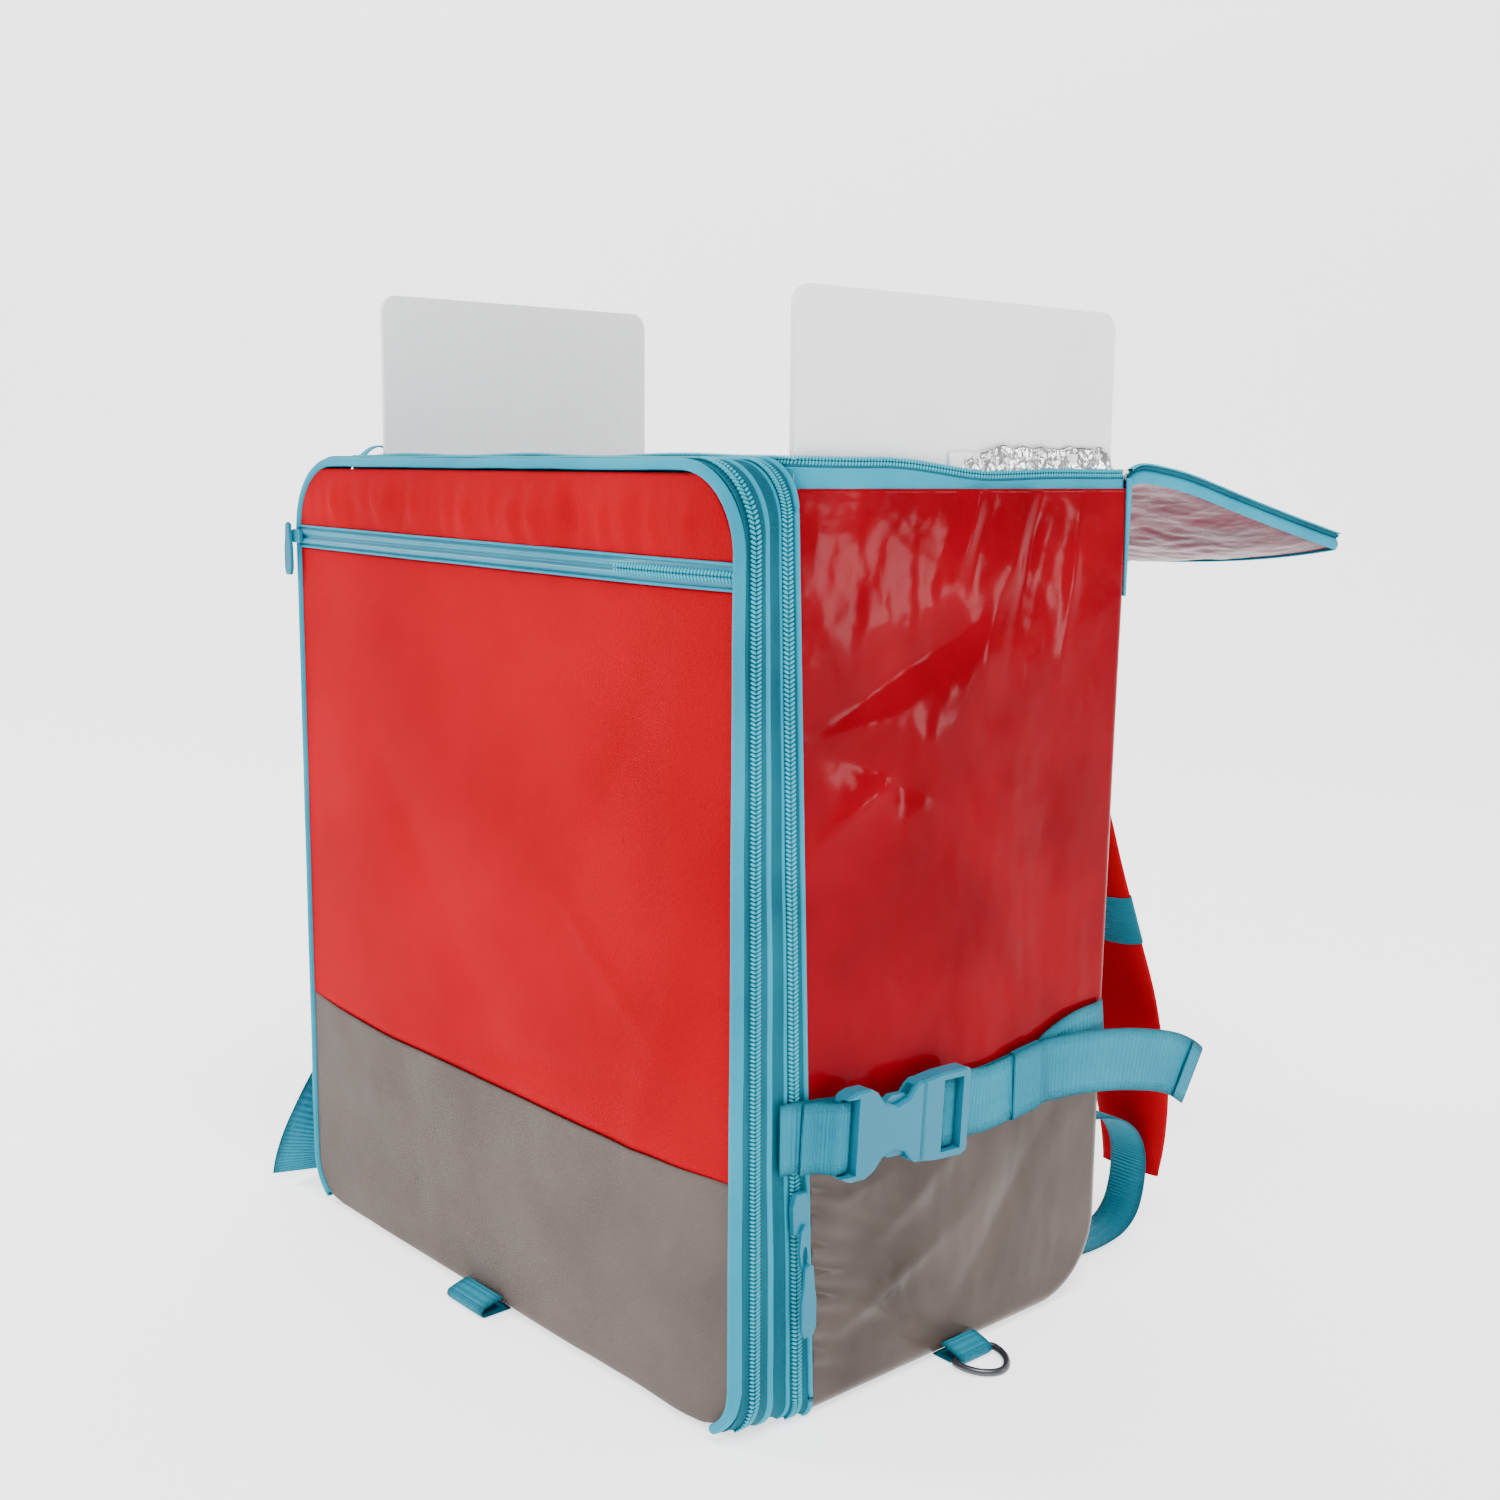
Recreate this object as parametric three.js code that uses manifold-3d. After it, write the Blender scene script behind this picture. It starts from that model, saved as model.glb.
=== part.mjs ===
// Insulated delivery backpack standing open on its base: a soft box with a puffed front pocket,
// a ring gusset with two zips, a wrap-round back and foot, a foil lining with two board pockets,
// a padded lid thrown open over the back edge, compression straps with side-release buckles,
// bottom loops with D-rings and two padded shoulder straps.
// Millimetres, +Z up, +X the bag's left side when worn, front pocket towards -Y, base on Z = 0.

import * as THREE from "three";
import { mergeVertices } from "three/addons/utils/BufferGeometryUtils.js";
import Module from "manifold-3d";

// Overall body
const WIDTH = 436;
const DEPTH = 300;
const HEIGHT = 500;
const CLOTH = 1.8;
const GAP = 0.4;
const FLOOR_LIFT = 0.6;

// Body shape: how the back leans, how the foot and the corners are rounded
const BACK_HOLLOW = 3;
const BACK_FLARE = 7;
const BACK_FOOT_RADIUS = 50;
const EDGE_ROLL = 10;
const SIDE_PUFF = 4;
const FRONT_PUFF = 6;
const SIDE_TOP_DROP = 13;
const SEAM_HEIGHT = 140;
const SIDE_SEAM_HEIGHT = 152;
const SEAM_RISE = 7;

// Ring gusset round the front pocket
const GUSSET_TOP = 36;
const GUSSET_FOOT = 56;
const FRONT_TOP_RADIUS = 45;
const REAR_TOP_RADIUS = 22;
const FRONT_FOOT_RADIUS = 32;
const BINDING_LIP = 5;
const BINDING_CLEAR = 1.3;
const COIL_HEIGHT = 1.8;
const PIPING_HEIGHT = 1.4;

// Pocket zip across the front
const POCKET_ZIP_DEPTH = 52;
const POCKET_ZIP_WIDTH = 14;
const POCKET_ZIP_DROP = 3;

// Base, lining and board pockets
const BASE_THICK = 4;
const FOAM = 5;
const POCKET_FOIL = 1.2;
const BOARD_THICK = 4;
const BOARD_PLAY = 0.5;
const DENT_ROOM = 3;
const LINER_DROP = 4;
const FOIL_RISE = 10;
const LINER_FOOT_ROUND = 16;
const LINER_BACK_ROUND = 8;
const BOARD_HEIGHT = 420;
const BOARD_CORNER = 10;
const RIGHT_BOARD_WIDTH = 248;
const RIGHT_BOARD_OUT = 85;
const LEFT_BOARD_WIDTH = 218;
const LEFT_BOARD_OUT = 107;
const LEFT_BOARD_FRONT = 20;

// Rim of the main opening
const RIM_FRONT_DROP = 2;
const RIM_BACK_DROP = 8;
const RIM_CORNER = 4;
const RIM_ZIP_HEIGHT = 5;
const RIM_WALL = 2;
const TAB_LENGTH = 62;

// Lid, open over the back edge
const LID_LENGTH = 226;
const LID_SIDE_INSET = 4;
const LID_SKIN = 2;
const LID_FOAM = 5;
const LID_HINGE_DROP = 8;
const LID_SAG = 22;
const LID_BAND = 12;
const LID_BAND_WALL = 2;
const LID_BAND_START = 0.08;

// Compression straps and buckles
const WEBBING = 38;
const WEBBING_THICK = 1.4;
const PLY_GAP = 0.5;
const STRAP_HEIGHT = 156;
const SHORT_STRAP = 29;
const BUCKLE_TILT = -3.5;
const BUCKLE_LENGTH = 96;
const BUCKLE_HALF_HEIGHT = 24;
const BUCKLE_THICK = 11;
const BUCKLE_STANDOFF = 4.2;
const BAR = 4;
const SLOT = 5;
const LADDER_EDGE = 6.5;
const LADDER_BAR = 5.5;
const HEM_BACK = 18;
const PRONG_THICK = 4;
const PRONG_PLAY = 0.5;

// Loops and rings at the foot
const LOOP_WEBBING = 27;
const LOOP_REACH = 16;
const RING_WIRE = 3.2;
const RING_LENGTH = 36;
const RING_REACH = 25;
const RING_SIDE_PLACE = 18;
const FRONT_LOOP_PLACE = -7;

// Zip sliders and pulls
const PULL_WIDTH = 9;
const PULL_LENGTH = 36;
const PULL_THICK = 2.4;

// Shoulder straps
const SHOULDER_WIDTH = 64;
const SHOULDER_THICK = 12;
const SHOULDER_PLACE = 170;
const SHOULDER_TOP_PLACE = 110;
const SHOULDER_TAB = [0.44, 0.515];
const LOWER_WEBBING = 28;
const LOWER_PLACE = 175;

const HALF_WIDTH = WIDTH / 2;
const FRONT_Y = -DEPTH / 2;
const SIDE_TOP = HEIGHT - SIDE_TOP_DROP;
const POCKET_ZIP_HEIGHT = HEIGHT - POCKET_ZIP_DEPTH;
const LINER_TOP = HEIGHT - LINER_DROP;
const RIM_FRONT_TOP = HEIGHT - RIM_FRONT_DROP;
const RIM_BACK_TOP = HEIGHT - RIM_BACK_DROP;
const LID_HINGE_HEIGHT = HEIGHT - LID_HINGE_DROP;
const PALETTE = {
  red: [0xd8202c, 0.55, 0],
  gloss_red: [0xb8101e, 0.25, 0],
  grey: [0x7b716c, 0.8, 0],
  cyan: [0x54b3c8, 0.6, 0],
  plastic_cyan: [0x4fb0c6, 0.35, 0],
  foil: [0xc8c8cc, 0.25, 0.9],
  board: [0xe0e0e2, 0.5, 0],
  steel: [0x56565c, 0.35, 0.9],
};

const vec = (x, y, z) => new THREE.Vector3(x, y, z);
const lerp = THREE.MathUtils.lerp;
const rad = THREE.MathUtils.degToRad;
const steps = (count) => Array.from({ length: count + 1 }, (_, i) => i / count);
const bag = new THREE.Group();

// A named mesh of its own material, added to the bag or to a group in it
function piece(name, geometry, finish, parent = bag) {
  const [color, roughness, metalness] = PALETTE[finish];
  const mesh = new THREE.Mesh(geometry, new THREE.MeshStandardMaterial({ color, roughness, metalness }));
  mesh.name = name;
  parent.add(mesh);
  return mesh;
}

// Joins equal closed loops of points into one closed body, with flat ends unless it closes on itself
function loft(loops, closed = false) {
  const count = loops[0].length;
  const position = loops.flat().flatMap((p) => [p.x, p.y, p.z]);
  const index = [];
  const spans = closed ? loops.length : loops.length - 1;
  for (let i = 0; i < spans; i += 1) {
    const here = i * count;
    const next = ((i + 1) % loops.length) * count;
    for (let j = 0; j < count; j += 1) {
      const k = (j + 1) % count;
      if (j < count / 2) {
        index.push(here + j, here + k, next + k, here + j, next + k, next + j);
      } else {
        index.push(here + j, here + k, next + j, here + k, next + k, next + j);
      }
    }
  }
  if (!closed) {
    for (const [base, turn] of [[0, 1], [(loops.length - 1) * count, 0]]) {
      for (let low = 0, high = count - 1; low + 1 <= high - 1 || low + 1 < high; low += 1, high -= 1) {
        const quad = [[low, low + 1, high], [low + 1, high - 1, high]];
        for (const [a, b, c] of quad.filter(([p, q, r]) => p !== q && q !== r && p !== r)) {
          index.push(base + a, base + (turn ? c : b), base + (turn ? b : c));
        }
      }
    }
  }
  const geometry = new THREE.BufferGeometry();
  geometry.setAttribute("position", new THREE.Float32BufferAttribute(position, 3));
  geometry.setIndex(index);
  return outward(geometry);
}

// Turns the faces round if the body is inside out
function outward(geometry) {
  const p = geometry.getAttribute("position");
  const index = geometry.getIndex().array;
  const corner = (i) => vec(p.getX(index[i]), p.getY(index[i]), p.getZ(index[i]));
  let volume = 0;
  for (let i = 0; i < index.length; i += 3) {
    volume += corner(i).dot(corner(i + 1).cross(corner(i + 2)));
  }
  if (volume < 0) {
    for (let i = 0; i < index.length; i += 3) {
      [index[i], index[i + 1]] = [index[i + 1], index[i]];
    }
  }
  geometry.computeVertexNormals();
  return geometry;
}

// A soft wall: surface(u, v) gives the outer point p and the outward direction n
function shell(surface, us, vs, wall = CLOTH) {
  return loft(vs.map((v) => {
    const outer = us.map((u) => surface(u, v));
    const inner = outer.map(({ p, n }) => p.clone().addScaledVector(n, -wall)).reverse();
    return [...outer.map(({ p }) => p), ...inner];
  }));
}

// Webbing along a path; each stop has its middle p, its outward side n and its width direction w
function ribbon(stops, width, thick = WEBBING_THICK) {
  return loft(stops.map(({ p, n, w }) => [[1, 1], [1, -1], [-1, -1], [-1, 1]].map(([a, b]) => (
    p.clone().addScaledVector(n, (a * thick) / 2).addScaledVector(w, (b * width) / 2)
  ))));
}

// Stops of a ribbon through plane points [along, out], with the width direction square to the plane
function planeStops(points, place, width) {
  return points.map(([along, out], i) => {
    const before = points[Math.max(i - 1, 0)];
    const after = points[Math.min(i + 1, points.length - 1)];
    const run = new THREE.Vector2(after[0] - before[0], after[1] - before[1]).normalize();
    return { p: place(along, out), n: place(-run.y, run.x).sub(place(0, 0)).normalize(), w: width };
  });
}

// Points on an arc in a plane, angles in degrees
function arc(x, y, radius, from, to, count) {
  return steps(count).map((t) => {
    const a = rad(lerp(from, to, t));
    return [x + radius * Math.cos(a), y + radius * Math.sin(a)];
  });
}

// Folds and dents: each row gives its middle and lengths as shares of the panel's two sizes, its
// turn in degrees and its height in shares of the panel's puff
function folds(table, across, along, puff) {
  return (a, b) => table.reduce((sum, { at, up, length, breadth, turn, height }) => {
    const da = a - at * across;
    const db = b - up * along;
    const s = (da * Math.cos(rad(turn)) + db * Math.sin(rad(turn))) / (length * along);
    const t = (-da * Math.sin(rad(turn)) + db * Math.cos(rad(turn))) / (breadth * along);
    return sum + height * puff * Math.exp(-s * s - t * t);
  }, 0);
}

const bump = (t) => Math.sin(Math.PI * Math.min(Math.max(t, 0), 1)) ** 2;
const backY = (z) => DEPTH / 2 - BACK_HOLLOW + BACK_FLARE * (z / HEIGHT) ** 2;
const gussetDepth = (z) => lerp(GUSSET_FOOT, GUSSET_TOP, z / HEIGHT);

// Exact solids for cutting and joining
const wasm = await Module();
wasm.setup();
function solid(geometry) {
  const bare = geometry.clone();
  bare.deleteAttribute("normal");
  bare.deleteAttribute("uv");
  const merged = mergeVertices(bare, 1e-5);
  const vertProperties = new Float32Array(merged.getAttribute("position").array);
  const triVerts = new Uint32Array(merged.getIndex().array);
  return new wasm.Manifold(new wasm.Mesh({ numProp: 3, vertProperties, triVerts }));
}
function fromSolid(body) {
  const mesh = body.getMesh();
  const geometry = new THREE.BufferGeometry();
  geometry.setAttribute("position", new THREE.Float32BufferAttribute(mesh.vertProperties, 3));
  geometry.setIndex(Array.from(mesh.triVerts));
  return outward(geometry);
}
function boxGeometry(low, high) {
  const size = high.map((h, i) => h - low[i]);
  const geometry = new THREE.BoxGeometry(...size);
  return geometry.translate(...low.map((l, i) => l + size[i] / 2));
}
function plate(shape, depth, bevel = 0) {
  const options = { depth: depth - 2 * bevel, bevelEnabled: bevel > 0, bevelThickness: bevel };
  Object.assign(options, { bevelSize: bevel, bevelOffset: -bevel, bevelSegments: 1, curveSegments: 4 });
  return new THREE.ExtrudeGeometry(shape, options).translate(0, 0, bevel);
}
function roundedRect(x0, y0, x1, y1, radius) {
  const points = [
    ...arc(x1 - radius, y1 - radius, radius, 0, 90, 3),
    ...arc(x0 + radius, y1 - radius, radius, 90, 180, 3),
    ...arc(x0 + radius, y0 + radius, radius, 180, 270, 3),
    ...arc(x1 - radius, y0 + radius, radius, 270, 360, 3),
  ];
  return new THREE.Shape(points.map(([x, y]) => new THREE.Vector2(x, y)));
}

// The gusset's outline at a share of its depth: an upturned U from foot to foot
const FOOT_SWEEP = 60;
function ringStations(share) {
  const top = lerp(FRONT_TOP_RADIUS, REAR_TOP_RADIUS, share);
  const foot = lerp(FRONT_FOOT_RADIUS, EDGE_ROLL, share);
  const right = [
    ...arc(HALF_WIDTH - foot, foot + FLOOR_LIFT, foot, -FOOT_SWEEP, 0, 3),
    ...arc(HALF_WIDTH - top, HEIGHT - top, top, 0, 90, 5),
  ];
  const normals = [...arc(0, 0, 1, -FOOT_SWEEP, 0, 3), ...arc(0, 0, 1, 0, 90, 5)];
  const half = right.map(([x, z], i) => ({ x, z, nx: normals[i][0], nz: normals[i][1] }));
  const mirrored = half.map(({ x, z, nx, nz }) => ({ x: -x, z, nx: -nx, nz }));
  return [...half, ...mirrored.reverse()];
}

// A strip of the gusset between two shares of its depth, with a raised profile of [share, height]
function gussetStrip(profile) {
  const columns = profile.map(([share, height]) => ({ stations: ringStations(share), share, height }));
  return loft(columns[0].stations.map((_, i) => {
    const points = (offset) => columns.map(({ stations, share, height }) => {
      const { x, z, nx, nz } = stations[i];
      const lift = offset ?? height;
      return vec(x + nx * lift, FRONT_Y + share * gussetDepth(z), z + nz * lift);
    });
    return [...points(), ...points(-CLOTH).reverse()];
  }));
}

// Share of the gusset's depth where each strip starts and ends
const STRIPS = [
  { name: "front_zip", from: 0.155, to: 0.47, profile: "coil" },
  { name: "gusset_strip", from: 0.48, to: 0.66, profile: "flat" },
  { name: "rear_zip", from: 0.67, to: 0.925, profile: "coil" },
  { name: "body_piping", from: 0.935, to: 0.99, profile: "piping" },
];
const PROFILES = {
  coil: [[0, 0.2], [0.24, 0.2], [0.34, COIL_HEIGHT], [0.66, COIL_HEIGHT], [0.76, 0.2], [1, 0.2]],
  flat: [[0, 0], [0.5, 0.8], [1, 0]],
  piping: [[0, 0], [0.5, PIPING_HEIGHT], [1, 0]],
};
function gusset() {
  for (const { name, from, to, profile } of STRIPS) {
    const rows = PROFILES[profile].map(([t, height]) => [lerp(from, to, t), height]);
    piece(name, gussetStrip(rows), "cyan");
  }
}

// Binding that turns the front edge of the gusset onto the front panel
function frontBinding() {
  const edge = STRIPS[0].from - 0.01;
  const outer = [[-BINDING_LIP, 0], [-1.5, -0.6], [0, 0.8], [0.6, 3], [0, null]];
  const inner = [[-BINDING_LIP, CLOTH], [-CLOTH - 1, CLOTH], [-CLOTH, 2.4], [-CLOTH, 3], [-CLOTH, null]];
  const stations = ringStations(0);
  const loops = stations.map(({ x, z, nx, nz }) => {
    const side = edge * gussetDepth(z);
    const place = ([lift, back]) => vec(x + nx * lift, FRONT_Y + (back ?? side), z + nz * lift);
    return [...outer.map(place), ...inner.map(place).reverse()];
  });
  piece("front_binding", loft(loops), "cyan");
}

// Half width of the front panel at a height, inside the binding
function frontHalfWidth(z) {
  const inset = BINDING_LIP + BINDING_CLEAR;
  const chord = (radius, offset) => {
    const inner = radius - inset;
    return HALF_WIDTH - radius + Math.sqrt(Math.max(inner ** 2 - offset ** 2, 0));
  };
  if (z > HEIGHT - FRONT_TOP_RADIUS) {
    return chord(FRONT_TOP_RADIUS, z - (HEIGHT - FRONT_TOP_RADIUS));
  }
  return z < FRONT_FOOT_RADIUS ? chord(FRONT_FOOT_RADIUS, FRONT_FOOT_RADIUS - z) : HALF_WIDTH - inset;
}

const seamHeight = (x) => SEAM_HEIGHT + SEAM_RISE * Math.min(x / HALF_WIDTH, 0) ** 4;
const pocketZipHeight = (x) => POCKET_ZIP_HEIGHT - (POCKET_ZIP_DROP * x) / HALF_WIDTH;

// Rows: folds of the front, places as shares of half the width and of the height
const FRONT_FOLDS = [
  { at: 0.62, up: 0.72, length: 0.2, breadth: 0.035, turn: 62, height: -0.35 },
  { at: -0.35, up: 0.55, length: 0.22, breadth: 0.05, turn: -50, height: -0.3 },
  { at: 0.7, up: 0.36, length: 0.14, breadth: 0.03, turn: 70, height: 0.3 },
  { at: 0.1, up: 0.4, length: 0.25, breadth: 0.06, turn: 35, height: -0.25 },
  { at: 0.82, up: 0.09, length: 0.09, breadth: 0.03, turn: 38, height: -0.8 },
  { at: 0.9, up: 0.17, length: 0.07, breadth: 0.025, turn: 75, height: 0.4 },
];
const frontFolds = folds(FRONT_FOLDS, HALF_WIDTH, HEIGHT, FRONT_PUFF);

// Front surface between two height curves: puffed, folded and rolled under at the foot
function frontSurface(low, high, puff, extra = () => 0) {
  return (u, v) => {
    const middle = lerp(low(0), high(0), v);
    const across = u * 2 - 1;
    const x = across * frontHalfWidth(middle);
    const z = lerp(low(x), high(x), v);
    const fade = 1 - across ** 6;
    const out = puff * (1 - across ** 4) * bump(z / HEIGHT) ** 0.5 + fade * frontFolds(x, z);
    const turn = Math.max(EDGE_ROLL - z, 0);
    const roll = EDGE_ROLL - Math.sqrt(EDGE_ROLL ** 2 - turn ** 2);
    const n = vec(0, -Math.sqrt(EDGE_ROLL ** 2 - turn ** 2), -turn).normalize();
    return { p: vec(x, FRONT_Y + CLOTH / 3 - out - fade * extra(x, v) + roll, z), n };
  };
}

function frontPanels() {
  const zipHalf = POCKET_ZIP_WIDTH / 2;
  const footRows = [0, 0.02, 0.07, 0.14, 0.25, 0.45, 0.7, 1];
  const seam = (x) => seamHeight(x);
  const grey = frontSurface(() => FLOOR_LIFT, (x) => seam(x) - GAP / 2, FRONT_PUFF);
  piece("front_panel_grey", shell(grey, steps(12), footRows), "grey");
  const zipFoot = (x) => pocketZipHeight(x) - zipHalf - GAP / 2;
  const red = frontSurface((x) => seam(x) + GAP / 2, zipFoot, FRONT_PUFF);
  piece("front_panel_red", shell(red, steps(12), steps(11)), "red");
  const zipTop = (x) => pocketZipHeight(x) + zipHalf + GAP / 2;
  const top = () => HEIGHT - BINDING_LIP - BINDING_CLEAR;
  const puckers = (x, v) => 1.2 * Math.sin((x / HALF_WIDTH) * 8 * Math.PI) * bump(v);
  const band = frontSurface(zipTop, top, FRONT_PUFF, puckers);
  piece("front_top_band", shell(band, steps(22), [0, 0.3, 0.65, 0.88, 1]), "red");
}

// The pocket's zip: welts above and below a coil in a shallow channel
function pocketZip() {
  const rows = [[0, 0.4], [0.22, 1.2], [0.34, -0.4], [0.66, -0.4], [0.78, 1.2], [1, 0.4]];
  const low = (x) => pocketZipHeight(x) - POCKET_ZIP_WIDTH / 2 + GAP / 2;
  const high = (x) => pocketZipHeight(x) + POCKET_ZIP_WIDTH / 2 - GAP / 2;
  const base = frontSurface(low, high, FRONT_PUFF);
  const surface = (u, v) => {
    const { p, n } = base(u, rows[v][0]);
    return { p: p.addScaledVector(n, rows[v][1]), n };
  };
  piece("pocket_zip", shell(surface, steps(12), rows.map((_, i) => i), CLOTH + 0.2), "cyan");
}

// Distance and outward direction from a side panel's back and foot outline
function wrapEdge(y, z) {
  const back = backY(z);
  const height = z - FLOOR_LIFT;
  const cy = backY(BACK_FOOT_RADIUS) - BACK_FOOT_RADIUS;
  if (y > cy && height < BACK_FOOT_RADIUS) {
    const dy = y - cy;
    const dz = height - BACK_FOOT_RADIUS;
    const length = Math.hypot(dy, dz);
    return { depth: BACK_FOOT_RADIUS - length, ny: dy / length, nz: dz / length };
  }
  return back - y < height ? { depth: back - y, ny: 1, nz: 0 } : { depth: height, ny: 0, nz: -1 };
}
function outlineBackY(z) {
  const height = z - FLOOR_LIFT;
  const drop = Math.max(BACK_FOOT_RADIUS - height, 0);
  const cy = backY(BACK_FOOT_RADIUS) - BACK_FOOT_RADIUS;
  return drop > 0 ? cy + Math.sqrt(Math.max(BACK_FOOT_RADIUS ** 2 - drop ** 2, 0)) : backY(z);
}

// Rows: folds of a side, places as shares of the depth (from the front) and of the height
const SIDE_FOLDS = [
  { at: 0.36, up: 0.78, length: 0.14, breadth: 0.035, turn: 24, height: -0.75 },
  { at: 0.3, up: 0.68, length: 0.12, breadth: 0.03, turn: -22, height: -0.55 },
  { at: 0.62, up: 0.86, length: 0.16, breadth: 0.045, turn: 62, height: 0.55 },
  { at: 0.78, up: 0.6, length: 0.25, breadth: 0.06, turn: 88, height: -0.5 },
  { at: 0.45, up: 0.42, length: 0.18, breadth: 0.06, turn: -35, height: -0.4 },
  { at: 0.42, up: 0.11, length: 0.08, breadth: 0.02, turn: 20, height: 0.5 },
  { at: 0.3, up: 0.18, length: 0.09, breadth: 0.022, turn: -40, height: -0.5 },
  { at: 0.7, up: 0.14, length: 0.1, breadth: 0.03, turn: 48, height: -0.45 },
];
const sideFolds = folds(SIDE_FOLDS, DEPTH, HEIGHT, SIDE_PUFF);
const ROLL_SHARE = 0.8;

function sideX(y, z) {
  const { depth } = wrapEdge(y, z);
  const front = FRONT_Y + gussetDepth(z);
  const along = (y - front) / (backY(z) - front);
  const fade = bump(along * 0.5 + 0.25 * (1 - Math.cos(Math.PI * along))) ** 0.5 * bump(z / SIDE_TOP) ** 0.5;
  const d = Math.min(Math.max(depth, 0), EDGE_ROLL);
  const roll = EDGE_ROLL - Math.sqrt(EDGE_ROLL ** 2 - (EDGE_ROLL - d) ** 2);
  const edge = Math.min(depth / (3 * EDGE_ROLL), 1);
  const shape = SIDE_PUFF * fade + sideFolds(y - FRONT_Y, z) * Math.max(edge, 0) * bump(along) ** 0.25;
  return HALF_WIDTH - roll + shape * Math.max(edge, 0);
}

function sideSurface(side, heights) {
  return (u, v) => {
    const z = heights(v);
    const end = outlineBackY(z);
    const front = FRONT_Y + gussetDepth(z) + GAP;
    const turn = rad((Math.max(u - ROLL_SHARE, 0) / (1 - ROLL_SHARE)) * 90);
    const flat = Math.min(u / ROLL_SHARE, 1);
    const y = lerp(front, end - EDGE_ROLL, flat) + EDGE_ROLL * Math.sin(turn);
    const { depth, ny, nz } = wrapEdge(y, z);
    const lean = Math.min(Math.max(1 - depth / EDGE_ROLL, 0), 1);
    const n = vec(Math.sqrt(1 - lean ** 2) * side, ny * lean, nz * lean);
    return { p: vec(side * sideX(y, z), y, z), n };
  };
}

function sidePanels() {
  const flat = steps(3).slice(1).map((t) => lerp(ROLL_SHARE, 1, t));
  const us = [...steps(9).map((t) => t * ROLL_SHARE), ...flat];
  const footRows = [...arc(0, EDGE_ROLL, EDGE_ROLL, -90, 0, 3).map(([, z]) => z), 24, BACK_FOOT_RADIUS];
  const wallRows = steps(4).slice(1).map((t) => lerp(BACK_FOOT_RADIUS, SIDE_SEAM_HEIGHT, t));
  const greyRows = [...footRows, ...wallRows];
  for (const [word, side] of [["right", 1], ["left", -1]]) {
    const grey = sideSurface(side, (i) => greyRows[i] + (i < greyRows.length - 1 ? FLOOR_LIFT : -GAP / 2));
    piece(`side_panel_grey_${word}`, shell(grey, us, greyRows.map((_, i) => i)), "grey");
    const red = sideSurface(side, (v) => lerp(SIDE_SEAM_HEIGHT + GAP / 2, SIDE_TOP, v));
    piece(`side_panel_red_${word}`, shell(red, us, steps(11)), "gloss_red");
  }
}

// Base and back: the grey foot wraps up from the floor into the back, and the red goes on to the top
function baseAndBack() {
  const halfWidth = HALF_WIDTH - EDGE_ROLL - GAP;
  const cy = backY(BACK_FOOT_RADIUS) - BACK_FOOT_RADIUS;
  const right = [
    [HALF_WIDTH - FRONT_FOOT_RADIUS - GAP, FRONT_Y + EDGE_ROLL + CLOTH + GAP],
    [halfWidth, FRONT_Y + GUSSET_FOOT],
    [halfWidth, cy - GAP],
  ];
  const outline = [...right, ...right.map(([x, y]) => [-x, y]).reverse()];
  const shape = new THREE.Shape(outline.map(([x, y]) => new THREE.Vector2(x, y)));
  piece("base_panel", plate(shape, BASE_THICK), "grey");
  const profile = [
    ...arc(cy, BACK_FOOT_RADIUS, BACK_FOOT_RADIUS - FLOOR_LIFT, -90, 0, 6)
      .map(([y, z], i) => ({ y, z, ny: Math.sin(rad(i * 15)), nz: -Math.cos(rad(i * 15)) })),
    { y: backY(SIDE_SEAM_HEIGHT), z: SIDE_SEAM_HEIGHT - GAP / 2, ny: 1, nz: 0 },
  ];
  const foot = (u, i) => {
    const { y, z, ny, nz } = profile[i];
    return { p: vec(lerp(-halfWidth, halfWidth, u), y, z), n: vec(0, ny, nz) };
  };
  piece("back_panel_grey", shell(foot, steps(4), profile.map((_, i) => i)), "grey");
  const back = (u, v) => {
    const z = lerp(SIDE_SEAM_HEIGHT + GAP / 2, SIDE_TOP, v);
    return { p: vec(lerp(-halfWidth, halfWidth, u), backY(z), z), n: vec(0, 1, 0) };
  };
  piece("back_panel_red", shell(back, steps(4), steps(4)), "red");
}

// Inside faces of the lining, from the walls round it
const LINER_OUT_X = HALF_WIDTH - CLOTH - DENT_ROOM;
const SLOT_OUT_X = LINER_OUT_X - POCKET_FOIL;
const SLOT_IN_X = SLOT_OUT_X - BOARD_THICK - 2 * BOARD_PLAY;
const LINER_IN_X = SLOT_IN_X - FOAM;
const LINER_FRONT_Y = FRONT_Y + GUSSET_TOP + RIM_WALL + 2 * GAP;
const LINER_BACK_Y = backY(0) - CLOTH - 2 * GAP;
const LINER_FOOT_Z = BASE_THICK + GAP;
const BOARDS = [
  { word: "right", side: 1, width: RIGHT_BOARD_WIDTH, out: RIGHT_BOARD_OUT, front: 0 },
  { word: "left", side: -1, width: LEFT_BOARD_WIDTH, out: LEFT_BOARD_OUT, front: LEFT_BOARD_FRONT },
];
function boardSpan({ width, front }) {
  const low = LINER_FRONT_Y + POCKET_FOIL + BOARD_PLAY + front;
  return [low, Math.min(low + width, LINER_BACK_Y - POCKET_FOIL - BOARD_PLAY)];
}

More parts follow.
